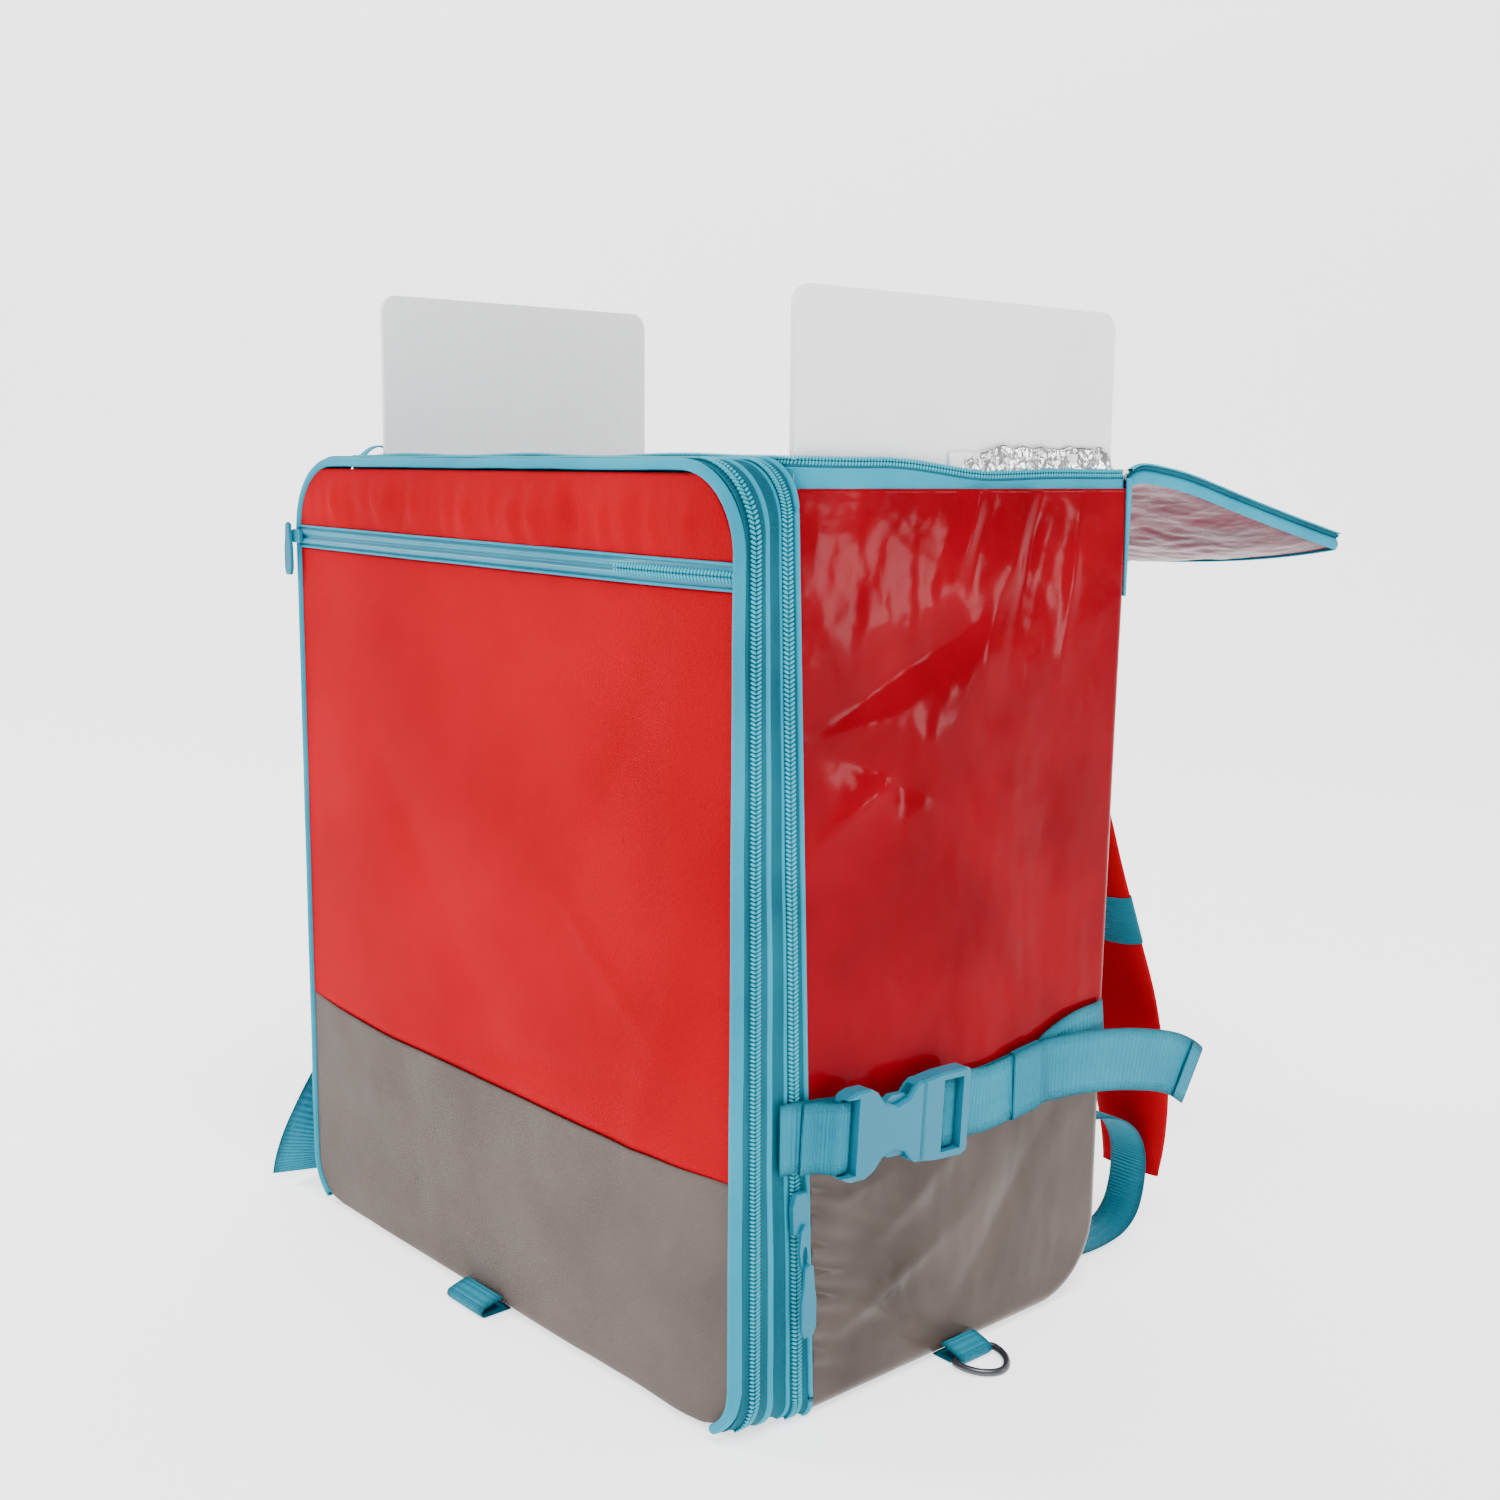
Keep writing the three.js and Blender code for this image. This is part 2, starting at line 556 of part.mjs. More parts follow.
// Foil lining: a deep tub with round back foot and a pocket for a board in each side wall
function liner() {
  const radius = BACK_FOOT_RADIUS + LINER_FOOT_ROUND;
  const tub = (inset, halfWidth, top) => {
    const front = LINER_FRONT_Y + inset;
    const back = LINER_BACK_Y - inset;
    const foot = LINER_FOOT_Z + inset;
    const turn = Math.max(radius - inset, 1);
    const bend = arc(back - turn, foot + turn, turn, -90, 0, 5);
    const points = [[front, top], [front, foot], ...bend, [back, top]];
    const shape = new THREE.Shape(points.map(([y, z]) => new THREE.Vector2(y, z)));
    const geometry = new THREE.ExtrudeGeometry(shape, { depth: 2 * halfWidth, bevelEnabled: false });
    return geometry.applyMatrix4(new THREE.Matrix4().makeBasis(vec(0, 1, 0), vec(0, 0, 1), vec(1, 0, 0)))
      .translate(-halfWidth, 0, 0);
  };
  const round = [
    [LINER_OUT_X, HEIGHT],
    ...arc(LINER_OUT_X - LINER_FOOT_ROUND, LINER_FOOT_Z + LINER_FOOT_ROUND, LINER_FOOT_ROUND, 0, -90, 4),
  ];
  const section = [...round, ...round.map(([x, z]) => [-x, z]).reverse()];
  const trim = new THREE.ExtrudeGeometry(
    new THREE.Shape(section.map(([x, z]) => new THREE.Vector2(x, z))),
    { depth: DEPTH, bevelEnabled: false },
  ).applyMatrix4(new THREE.Matrix4().makeBasis(vec(1, 0, 0), vec(0, 0, 1), vec(0, -1, 0)));
  trim.translate(0, DEPTH / 2, 0);
  const plan = roundedRect(-LINER_OUT_X, -DEPTH, LINER_OUT_X, LINER_BACK_Y, LINER_BACK_ROUND);
  const block = solid(tub(0, LINER_OUT_X, LINER_TOP));
  let body = block.intersect(solid(trim)).intersect(solid(plate(plan, HEIGHT)));
  body = body.subtract(solid(tub(FOAM, LINER_IN_X, LINER_TOP + FOAM)));
  const flapBack = LINER_BACK_Y - LINER_BACK_ROUND;
  const flapLow = [SLOT_OUT_X, 0, LINER_TOP - FOIL_RISE];
  const flap = boxGeometry(flapLow, [LINER_OUT_X, flapBack, LINER_TOP + FOIL_RISE]);
  body = body.add(solid(flap));
  for (const board of BOARDS) {
    const [front, back] = boardSpan(board);
    const xs = [board.side * SLOT_IN_X, board.side * SLOT_OUT_X].sort((a, b) => a - b);
    const low = [xs[0], front - BOARD_PLAY, LINER_FOOT_Z + radius];
    const high = [xs[1], back + BOARD_PLAY, LINER_TOP + FOIL_RISE + 1];
    body = body.subtract(solid(boxGeometry(low, high)));
  }
  piece("liner", fromSolid(body), "foil");
}

// Stiffener boards, pulled part of the way out of their pockets
function boards() {
  for (const board of BOARDS) {
    const [front, back] = boardSpan(board);
    const top = HEIGHT + board.out;
    const shape = roundedRect(front, top - BOARD_HEIGHT, back, top, BOARD_CORNER);
    const geometry = plate(shape, BOARD_THICK);
    geometry.applyMatrix4(new THREE.Matrix4().makeBasis(vec(0, 1, 0), vec(0, 0, 1), vec(1, 0, 0)));
    const low = board.side > 0 ? SLOT_IN_X + BOARD_PLAY : -SLOT_OUT_X + BOARD_PLAY;
    piece(`stiffener_${board.word}`, geometry.translate(low, 0, 0), "board");
  }
}

// Plan of the rim, from the back left corner round the front to the back right corner
function rimStations(inset) {
  const x = HALF_WIDTH - 0.6 - inset;
  const front = FRONT_Y + GUSSET_TOP + GAP + inset;
  const corner = RIM_CORNER - inset;
  const back = backY(SIDE_TOP) - EDGE_ROLL;
  const run = steps(7).slice(0, -1).map((t) => lerp(back, front + corner, t));
  const turn = arc(x - corner, front + corner, corner, 0, -90, 3);
  const right = [...run.map((y) => [x, y]), ...turn];
  const left = right.map(([px, py]) => [-px, py]).reverse();
  return [...right, ...left];
}
function rimTop(y) {
  const t = THREE.MathUtils.smoothstep(y, FRONT_Y * 0.4, DEPTH * 0.1);
  return lerp(RIM_FRONT_TOP, RIM_BACK_TOP, t);
}
function rim() {
  const outer = rimStations(0);
  const inner = rimStations(RIM_WALL);
  const leaned = rimStations(RIM_WALL + 0.6);
  const band = outer.map(([x, y], i) => {
    const top = rimTop(y) - GAP;
    const points = [[x, y, SIDE_TOP + GAP], [x, y, top], [...inner[i], top], [...inner[i], SIDE_TOP + GAP]];
    return points.map((p) => vec(...p));
  });
  piece("rim_band", loft(band), "cyan");
  const zip = inner.map(([x, y], i) => {
    const low = rimTop(y);
    const high = low + RIM_ZIP_HEIGHT;
    const bulge = outer[i];
    const points = [[...bulge, low], [...bulge, lerp(low, high, 0.7)], [x, y, high],
      [...leaned[i], high], [...leaned[i], low], [x, y, low]];
    return points.map((p) => vec(...p));
  });
  piece("rim_zip", loft(zip), "cyan");
}

// Tapered ends of the zip that run down the two back corners
function cornerTabs() {
  const radius = EDGE_ROLL + GAP;
  for (const [word, side] of [["right", 1], ["left", -1]]) {
    const surface = (u, v) => {
      const z = lerp(SIDE_TOP, SIDE_TOP - TAB_LENGTH, v);
      const spread = lerp(34, 12, v);
      const a = rad(45 + (u * 2 - 1) * spread);
      const cx = HALF_WIDTH - EDGE_ROLL;
      const cy = backY(z) - EDGE_ROLL;
      const n = vec(side * Math.cos(a), Math.sin(a), 0);
      return { p: vec(side * cx, cy, z).addScaledVector(n, radius + WEBBING_THICK), n };
    };
    piece(`corner_tab_${word}`, shell(surface, steps(4), steps(4), WEBBING_THICK), "cyan");
  }
}

// Rows: the lid's side edge, as shares of its length back and of its own length for the drop
const LID_EDGE = [
  { back: -0.018, drop: 0.019 },
  { back: 0.04, drop: 0.002 },
  { back: 0.15, drop: 0.012 },
  { back: 0.28, drop: 0.034 },
  { back: 0.52, drop: 0.09 },
  { back: 0.77, drop: 0.146 },
  { back: 1, drop: 0.195 },
];
const lidCurve = new THREE.CatmullRomCurve3(LID_EDGE.map(({ back, drop }) => vec(0, back, -drop)));
function lidSurface(lift) {
  const half = HALF_WIDTH - LID_SIDE_INSET;
  return (u, v) => {
    const { y, z } = lidCurve.getPoint(v);
    const across = u * 2 - 1;
    const curl = 0.35 * THREE.MathUtils.smoothstep(v, 0.85, 1);
    const belly = Math.sin(Math.PI * Math.min(v * 1.12, 1) * 0.5) ** 2 - curl;
    const sag = LID_SAG * belly * (1 - Math.abs(across) ** 3);
    const start = backY(SIDE_TOP) + GAP;
    const p = vec(across * half, start + y * LID_LENGTH, LID_HINGE_HEIGHT + z * LID_LENGTH - sag + lift);
    return { p, n: vec(0, 0, 1) };
  };
}
function lid() {
  const foamTop = LID_SKIN + GAP + LID_FOAM;
  piece("lid_panel", shell(lidSurface(LID_SKIN), steps(10), steps(8), LID_SKIN), "gloss_red");
  piece("lid_lining", shell(lidSurface(foamTop), steps(10), steps(8), LID_FOAM), "foil");
  const edge = lidSurface(0);
  const stations = [
    ...steps(8).slice(0, -1).map((v) => ({ ...edge(1, Math.max(v, LID_BAND_START)), out: vec(1, 0, 0) })),
    { ...edge(1, 1), out: vec(1, 1, 0) },
    ...steps(10).slice(1, -1).map((t) => ({ ...edge(1 - t, 1), out: vec(0, 1, 0) })),
    { ...edge(0, 1), out: vec(-1, 1, 0) },
    ...steps(8).slice(1).map((t) => ({ ...edge(0, Math.max(1 - t, LID_BAND_START)), out: vec(-1, 0, 0) })),
  ];
  const drop = (LID_BAND - foamTop) / 2;
  const strip = (low, high, wall, near) => loft(stations.map(({ p, out }) => (
    [[near, low], [near + wall, low], [near + wall, high], [near, high]]
      .map(([away, up]) => p.clone().addScaledVector(out, away).add(vec(0, 0, up)))
  )));
  piece("lid_band", strip(-drop, LID_BAND * 0.45, LID_BAND_WALL, GAP), "cyan");
  piece("lid_zip", strip(LID_BAND * 0.45 + GAP, LID_BAND - drop, LID_BAND_WALL + 0.6, GAP), "cyan");
}

// A tube of round wire or cord through points, with a fixed across direction
function wire(points, radius, sides, across, closed = false) {
  const rows = points.map((p, i) => {
    const before = points[closed ? (i + points.length - 1) % points.length : Math.max(i - 1, 0)];
    const after = points[closed ? (i + 1) % points.length : Math.min(i + 1, points.length - 1)];
    const run = after.clone().sub(before).normalize();
    const side = across.clone().addScaledVector(run, -across.dot(run)).normalize();
    const other = run.clone().cross(side);
    return steps(sides).slice(0, -1).map((t) => p.clone()
      .addScaledVector(side, radius * Math.cos(2 * Math.PI * t))
      .addScaledVector(other, radius * Math.sin(2 * Math.PI * t)));
  });
  return loft(rows, closed);
}

// Rows: the two compression straps. "facing" points from the fixed buckle half to the free tail
const BACK_ANCHOR = backY(SIDE_SEAM_HEIGHT) - EDGE_ROLL * 0.7;
const FRONT_ANCHOR = FRONT_Y + gussetDepth(STRAP_HEIGHT) * 0.56;
const STRAPS = [
  { word: "right", side: 1, facing: 1, from: FRONT_ANCHOR, to: BACK_ANCHOR, rise: 11 },
  { word: "left", side: -1, facing: -1, from: BACK_ANCHOR, to: FRONT_ANCHOR, rise: 4 },
];
const STRAP_PLANE = HALF_WIDTH + SIDE_PUFF + GAP;
const PLY = WEBBING_THICK / 2;
const OUTER_PLY = WEBBING_THICK + PLY_GAP + PLY;

// Places a point of a strap's own frame: along it, up from its middle line and out from the bag
function strapFrame({ side, facing, from }) {
  const middle = from + facing * (SHORT_STRAP + BUCKLE_LENGTH / 2);
  const axes = [vec(0, facing, 0), vec(0, 0, 1), vec(side, 0, 0)];
  return new THREE.Matrix4().makeBasis(...axes).setPosition(side * STRAP_PLANE, middle, STRAP_HEIGHT);
}

// Rows of a strap's middle line: along, up and out, and how far its width leans, in degrees
function strapRibbon(rows, frame, width = WEBBING) {
  const points = rows.map(([along, up, out]) => vec(along, up, out));
  const stops = points.map((p, i) => {
    const before = points[Math.max(i - 1, 0)];
    const run = points[Math.min(i + 1, points.length - 1)].clone().sub(before).normalize();
    const lean = rad(rows[i][3]);
    const w = vec(-Math.sin(lean), Math.cos(lean), 0);
    const n = run.clone().cross(w).normalize();
    return { p, n, w: n.clone().cross(run).normalize() };
  });
  return ribbon(stops, width).applyMatrix4(frame);
}

// Slots and bars of the buckle, along its length from its middle
const BUCKLE_END = BUCKLE_LENGTH / 2;
const SPLIT = BUCKLE_END * 0.23;
const NEAR_SLOT = [-BUCKLE_END + BAR + 1, -BUCKLE_END + BAR + 1 + SLOT];
const OUTER_SLOT = [BUCKLE_END - LADDER_EDGE - SLOT, BUCKLE_END - LADDER_EDGE];
const INNER_SLOT = OUTER_SLOT.map((along) => along - LADDER_BAR - SLOT);
const BAR_LOW = BUCKLE_STANDOFF + 2;
const BAR_HIGH = BAR_LOW + BAR * 0.85;
const OVER_BAR = BAR_HIGH + GAP + PLY;

// The short webbing: sewn at its anchor, round the fixed bar and back on itself
function shortStrap(frame) {
  const start = -BUCKLE_END - SHORT_STRAP;
  const slot = (NEAR_SLOT[0] + NEAR_SLOT[1]) / 2;
  const seat = -SIDE_PUFF + COIL_HEIGHT;
  const tilt = BUCKLE_TILT;
  const fall = Math.tan(rad(tilt));
  const turn = [
    [slot - 1.2, PLY + 1.4], [slot, PLY + 3], [slot, OVER_BAR - 1], [slot - 1.2, OVER_BAR + 0.4],
    [-BUCKLE_END - 0.5, OVER_BAR + 0.4], [-BUCKLE_END - 4, OVER_BAR - 2], [-BUCKLE_END - 8, 3.8],
    [-BUCKLE_END - HEM_BACK * 0.72, 2.6], [-BUCKLE_END - HEM_BACK, 2.4],
  ];
  const rows = [
    [start, start * fall, seat, 0],
    [start + 8, start * fall, seat + 1.2, -1],
    [start + 18, start * fall * 0.9, PLY, -2],
    ...turn.map(([along, out]) => [along, along * fall, out, tilt]),
  ];
  return strapRibbon(rows, frame);
}

// Rows: the long webbing by its side of the bag: along from the buckle's middle, up and lean. The
// lead runs from its anchor to the ladder, the tail from the ladder to its free end, with its out
const LEADS = {
  right: [[0.84, 9, 8], [0.74, 4, 5], [0.67, -1.8, 3], [0.52, -4.5, 3], [0.4, -6.4, 2], [0.28, -6, 0]],
  left: [[0.84, 3, -2], [0.7, 0, -2], [0.52, -2, -2], [0.4, -3.4, -3], [0.28, -3, -3]],
};
const TAILS = {
  right: [
    [76, -6.4, OUTER_PLY, 3], [97, -4.5, OUTER_PLY, 3], [120, -2, OUTER_PLY, 3],
    [132, -1.4, OUTER_PLY + 0.9, 1], [157, -2.5, 5.6, -2], [186, -6, 8.6, -7],
    [211, -11, 10.6, -13], [233, -17, 11.6, -20], [249, -24, 11.6, -28], [260, -31, 11.1, -32],
  ],
  left: [
    [66, -6, OUTER_PLY + 0.4, -4], [93, -10, 4.6, -14], [125, -22, 8.2, -28], [155, -45, 12.5, -42],
    [182, -80, 18.5, -56], [200, -115, 25, -66], [207, -136, 29, -72], [209, -150, 31.5, -76],
  ],
};

// The long webbing: sewn at its anchor, round the ladder's bar and out again as the free tail
function longStrap({ word, facing, from, to, rise }, frame) {
  const middle = from + facing * (SHORT_STRAP + BUCKLE_LENGTH / 2);
  const far = (to - middle) * facing;
  const fall = Math.tan(rad(BUCKLE_TILT));
  const inner = (INNER_SLOT[0] + INNER_SLOT[1]) / 2 + 0.2;
  const outer = (OUTER_SLOT[0] + OUTER_SLOT[1]) / 2 + 0.2;
  const turn = [
    [inner + 1.4, PLY + 0.2], [inner, PLY + 1.8], [inner, OVER_BAR - 1], [inner + 1.4, OVER_BAR + 0.2],
    [outer - 1.4, OVER_BAR + 0.2], [outer, OVER_BAR - 1], [outer, OUTER_PLY + 1.6],
    [outer + 1.6, OUTER_PLY],
  ];
  const rows = [
    [far, rise, COIL_HEIGHT - SIDE_PUFF, LEADS[word][0][2]],
    [far - 8, rise - 1, COIL_HEIGHT - SIDE_PUFF + 1.6, LEADS[word][0][2]],
    ...LEADS[word].map(([share, up, lean]) => [far * share, up, PLY, lean]),
    [inner + 12, (inner + 12) * fall, PLY, 0],
    ...turn.map(([along, out]) => [along, along * fall, out, BUCKLE_TILT]),
    [BUCKLE_END + 8, -4.4, OUTER_PLY, 0],
    ...TAILS[word],
  ];
  return strapRibbon(rows, frame);
}

// A keeper folded over the edges of both plies
function keeper(frame) {
  const half = WEBBING / 2 + GAP;
  const low = PLY;
  const high = OUTER_PLY + PLY + GAP + PLY;
  const wrap = half + PLY * 2;
  const section = [
    [wrap, low], [wrap, high + PLY], [-wrap, high + PLY], [-wrap, low],
    [-half, low], [-half, high - PLY], [half, high - PLY], [half, low],
  ];
  const rows = TAILS.right.slice(1, 3).map(([along, middle]) => (
    section.map(([up, out]) => vec(along, middle + up, out))
  ));
  return loft(rows).applyMatrix4(frame);
}

// Outline of a buckle half from its upper edge, mirrored to the lower one
function mirroredShape(upper) {
  const points = [...upper, ...upper.map(([a, h]) => [a, -h]).reverse()];
  return new THREE.Shape(points.map(([a, h]) => new THREE.Vector2(a, h)));
}
function cut(body, boxes) {
  return boxes.reduce((left, [low, high]) => left.subtract(solid(boxGeometry(low, high))), body);
}

// Fixed half: waisted housing, open at its sides where the prongs are squeezed
function housing() {
  const h = BUCKLE_HALF_HEIGHT;
  const e = BUCKLE_END;
  const upper = [
    [-e, h * 0.8], [-e + 3, h * 0.93], [-e + 8, h], [-e * 0.62, h], [-e * 0.5, h * 0.88],
    [-e * 0.38, h * 0.62], [-e * 0.2, h * 0.5], [-e * 0.02, h * 0.6], [e * 0.08, h * 0.82],
    [e * 0.15, h * 0.92], [SPLIT, h * 0.93],
  ];
  const body = solid(plate(mirroredShape(upper), BUCKLE_THICK, 1.2).translate(0, 0, BUCKLE_STANDOFF));
  const window = WEBBING / 2 + 1.5;
  const top = BUCKLE_STANDOFF + BUCKLE_THICK + 1;
  const low = prongLow() - PRONG_PLAY;
  const high = low + PRONG_THICK + 2 * PRONG_PLAY;
  return fromSolid(cut(body, [
    [[NEAR_SLOT[0], -window, 0], [NEAR_SLOT[1], window, top]],
    [[-e - 1, -window, BAR_HIGH], [NEAR_SLOT[0] + 1, window, top]],
    [[-e - 1, -window, 0], [NEAR_SLOT[0] + 1, window, BAR_LOW]],
    [[-e * 0.56, -h * 0.62, low], [SPLIT + 1, h * 0.62, high]],
    [[-e * 0.36, -h * 2, low], [e * 0.1, h * 2, high]],
  ]));
}
function prongLow() {
  return BUCKLE_STANDOFF + (BUCKLE_THICK - PRONG_THICK) / 2;
}

// Adjusting half: ladder with two slots, and the two prongs that reach into the housing
function ladder() {
  const h = BUCKLE_HALF_HEIGHT;
  const e = BUCKLE_END;
  const start = SPLIT + GAP;
  const upper = [[start, h * 0.93], [e * 0.5, h], [e - 4, h * 1.02], [e - 1, h * 0.97], [e, h * 0.86]];
  const frame = solid(plate(mirroredShape(upper), BUCKLE_THICK, 1.2).translate(0, 0, BUCKLE_STANDOFF));
  const window = WEBBING / 2 + 1;
  const top = BUCKLE_STANDOFF + BUCKLE_THICK + 1;
  let body = cut(frame, [
    [[INNER_SLOT[0], -window, 0], [INNER_SLOT[1], window, top]],
    [[OUTER_SLOT[0], -window, 0], [OUTER_SLOT[1], window, top]],
    [[INNER_SLOT[0] + 1, -window, BAR_HIGH], [OUTER_SLOT[1] - 1, window, top]],
    [[INNER_SLOT[0] + 1, -window, 0], [OUTER_SLOT[1] - 1, window, BAR_LOW]],
  ]);
  const prong = [
    [start + 1, h * 0.36], [start + 1, h * 0.59], [e * 0.04, h * 0.59], [-e * 0.04, h * 0.7],
    [-e * 0.24, h * 0.7], [-e * 0.32, h * 0.59], [-e * 0.48, h * 0.58], [-e * 0.52, h * 0.48],
    [-e * 0.48, h * 0.36],
  ];
  for (const sign of [1, -1]) {
    const shape = new THREE.Shape(prong.map(([a, y]) => new THREE.Vector2(a, sign * y)));
    body = body.add(solid(plate(shape, PRONG_THICK).translate(0, 0, prongLow())));
  }
  return fromSolid(body);
}

function compressionStraps() {
  for (const strap of STRAPS) {
    const frame = strapFrame(strap);
    const tilted = frame.clone().multiply(new THREE.Matrix4().makeRotationZ(rad(BUCKLE_TILT)));
    piece(`strap_short_${strap.word}`, shortStrap(frame), "cyan");
    piece(`strap_long_${strap.word}`, longStrap(strap, frame), "cyan");
    piece(`buckle_housing_${strap.word}`, housing().applyMatrix4(tilted), "plastic_cyan");
    piece(`buckle_ladder_${strap.word}`, ladder().applyMatrix4(tilted), "plastic_cyan");
    if (strap.word === "right") {
      piece(`strap_keeper_${strap.word}`, keeper(frame), "cyan");
    }
  }
}

// Webbing loops at the foot: out from the wall, round the ring's bar and back under it
const LOOP_BEND = RING_WIRE / 2 + GAP + PLY;
const LOOP_LOW = FLOOR_LIFT + PLY;
const LOOP_AXIS = LOOP_LOW + LOOP_BEND;
function footLoop(name, frame, width) {
  const wall = (z) => EDGE_ROLL - Math.sqrt(EDGE_ROLL ** 2 - Math.max(EDGE_ROLL - z, 0) ** 2);
  const bend = arc(LOOP_REACH - LOOP_BEND, LOOP_AXIS, LOOP_BEND, 80, -90, 6);
  const points = [
    [GAP + PLY, LOOP_AXIS + LOOP_BEND * 2], [LOOP_REACH * 0.35, LOOP_AXIS + LOOP_BEND * 1.9], ...bend,
    [LOOP_REACH * 0.3, LOOP_LOW], [GAP * 2 - wall(LOOP_LOW), LOOP_LOW],
  ];
  const stops = planeStops(points, (out, z) => vec(out, 0, z), vec(0, 1, 0));
  piece(name, ribbon(stops, width).applyMatrix4(frame), "cyan");
}

// D-ring lying on the floor, its straight bar held in the loop
function dRing(name, frame) {
  const half = (RING_LENGTH - RING_WIRE) / 2;
  const reach = RING_REACH - RING_WIRE;
  const far = RING_WIRE / 2 + 0.2;
  const drop = (out) => lerp(LOOP_AXIS, far, Math.min(out / reach, 1));
  const bow = [[0.14, 0.98], [0.42, 0.92], [0.7, 0.72], [0.92, 0.38]];
  const round = bow.map(([out, across]) => [out * reach, across * half]);
  const side = [[0, half * 0.9], ...round];
  const outline = [...side, [reach, 0], ...side.map(([a, b]) => [a, -b]).reverse()];
  const points = outline.map(([out, y]) => vec(LOOP_REACH - LOOP_BEND + out, y, drop(out)));
  piece(name, wire(points, RING_WIRE / 2, 6, vec(0, 0, 1), true).applyMatrix4(frame), "steel");
}

function footLoops() {
  const turned = (angle, x, y) => new THREE.Matrix4().makeRotationZ(rad(angle)).setPosition(x, y, 0);
  footLoop("loop_front", turned(-90, FRONT_LOOP_PLACE, FRONT_Y), LOOP_WEBBING * 1.4);
  for (const [word, angle, side] of [["right", 0, 1], ["left", 180, -1]]) {
    const frame = turned(angle, side * HALF_WIDTH, RING_SIDE_PLACE);
    footLoop(`loop_${word}`, frame, LOOP_WEBBING);
    dRing(`d_ring_${word}`, frame);
  }
}

// Zip slider and pull, in a plane: across, down from the slider's top, and out from the zip
function sliderShape(width, length) {
  const points = [[-0.32, 0], [0.32, 0], [0.5, -0.3], [0.42, -1], [-0.42, -1], [-0.5, -0.3]];
  return new THREE.Shape(points.map(([a, b]) => new THREE.Vector2(a * width, b * length)));
}
function pullShape(width, length) {
  const points = [
    [-0.28, -0.04], [0, 0], [0.28, -0.04], [0.36, -0.3], [0.5, -0.5], [0.5, -0.88], [0.3, -1],
    [-0.3, -1], [-0.5, -0.88], [-0.5, -0.5], [-0.36, -0.3],
  ];
  return new THREE.Shape(points.map(([a, b]) => new THREE.Vector2(a * width, b * length)));
}
function sliders() {
  const side = new THREE.Matrix4().makeBasis(vec(0, 1, 0), vec(0, 0, 1), vec(1, 0, 0));
  const top = SEAM_HEIGHT - PULL_WIDTH;
  const y = FRONT_Y + gussetDepth(top) * 0.8;
  const seat = HALF_WIDTH + COIL_HEIGHT + GAP;
  const bodyThick = PULL_THICK * 1.6;
  const slider = plate(sliderShape(PULL_WIDTH * 1.3, PULL_LENGTH * 0.6), bodyThick, 0.5);
  piece("rear_slider", slider.applyMatrix4(side).translate(seat, y, top), "plastic_cyan");
  const link = new THREE.Shape();
  link.absellipse(0, 0, PULL_WIDTH * 0.42, PULL_LENGTH * 0.36, 0, 2 * Math.PI);
  const eye = new THREE.Path();
  eye.absellipse(0, -PULL_LENGTH * 0.12, PULL_WIDTH * 0.2, PULL_LENGTH * 0.16, 0, 2 * Math.PI);
  link.holes.push(eye);
  const linkGeometry = plate(link, PULL_THICK * 0.7).applyMatrix4(side);
  const linkSeat = seat + bodyThick + GAP;
  const linkZ = top - PULL_LENGTH * 0.82;
  piece("rear_link", linkGeometry.translate(linkSeat, y + 1, linkZ), "plastic_cyan");
  const pull = plate(pullShape(PULL_WIDTH * 1.15, PULL_LENGTH * 1.1), PULL_THICK, 0.5).applyMatrix4(side);
  const pullSeat = linkSeat + PULL_THICK * 0.7 + GAP;
  piece("rear_pull", pull.translate(pullSeat, y + 2, linkZ - PULL_LENGTH * 0.22), "plastic_cyan");
  const front = new THREE.Matrix4().makeBasis(vec(1, 0, 0), vec(0, 0, 1), vec(0, -1, 0));
  const x = -HALF_WIDTH + BINDING_LIP;
  const z = pocketZipHeight(x);
  const out = FRONT_Y - BINDING_CLEAR;
  const small = plate(sliderShape(PULL_WIDTH, PULL_WIDTH * 1.4), bodyThick * 0.7, 0.4);
  small.rotateZ(Math.PI / 2).applyMatrix4(front);
  piece("pocket_slider", small.translate(x - PULL_WIDTH * 0.8, out, z), "plastic_cyan");
  const hang = plate(pullShape(PULL_WIDTH, PULL_LENGTH * 0.95), PULL_THICK, 0.5).applyMatrix4(front);
  const hangOut = out - bodyThick * 0.7 - GAP;
  hang.translate(-HALF_WIDTH - PULL_WIDTH * 0.15, hangOut, z + PULL_WIDTH);
  piece("pocket_pull", hang, "plastic_cyan");
}

// Rows: a shoulder strap from its top anchor to its lower end, as shares of the bag's height, of the
// depth for its bow behind the back, and of the way from its top place to its foot place
const SHOULDER_ROWS = [
  { up: 0.88, bow: 0, along: 0 },
  { up: 0.8, bow: 0.008, along: 0.1 },
  { up: 0.7, bow: 0.05, along: 0.35 },
  { up: 0.6, bow: 0.105, along: 0.6 },
  { up: 0.5, bow: 0.133, along: 0.8 },
  { up: 0.42, bow: 0.165, along: 0.92 },
  { up: 0.335, bow: 0.21, along: 1 },
  { up: 0.26, bow: 0.25, along: 1 },
  { up: 0.19, bow: 0.285, along: 1 },
  { up: 0.12, bow: 0.302, along: 1 },
  { up: 0.075, bow: 0.3, along: 1 },
];
const shoulderCurve = new THREE.CatmullRomCurve3(SHOULDER_ROWS.map(({ up, bow, along }) => {
  const z = up * HEIGHT;
  const y = backY(z) + SHOULDER_THICK / 2 + GAP + bow * DEPTH;
  return vec(lerp(SHOULDER_TOP_PLACE, SHOULDER_PLACE, along), y, z);
}));
const PAD_SECTION = [
  [1, 0], [0.92, 0.8], [0, 1], [-0.92, 0.8], [-1, 0], [-0.92, -0.8], [0, -1], [0.92, -0.8],
];

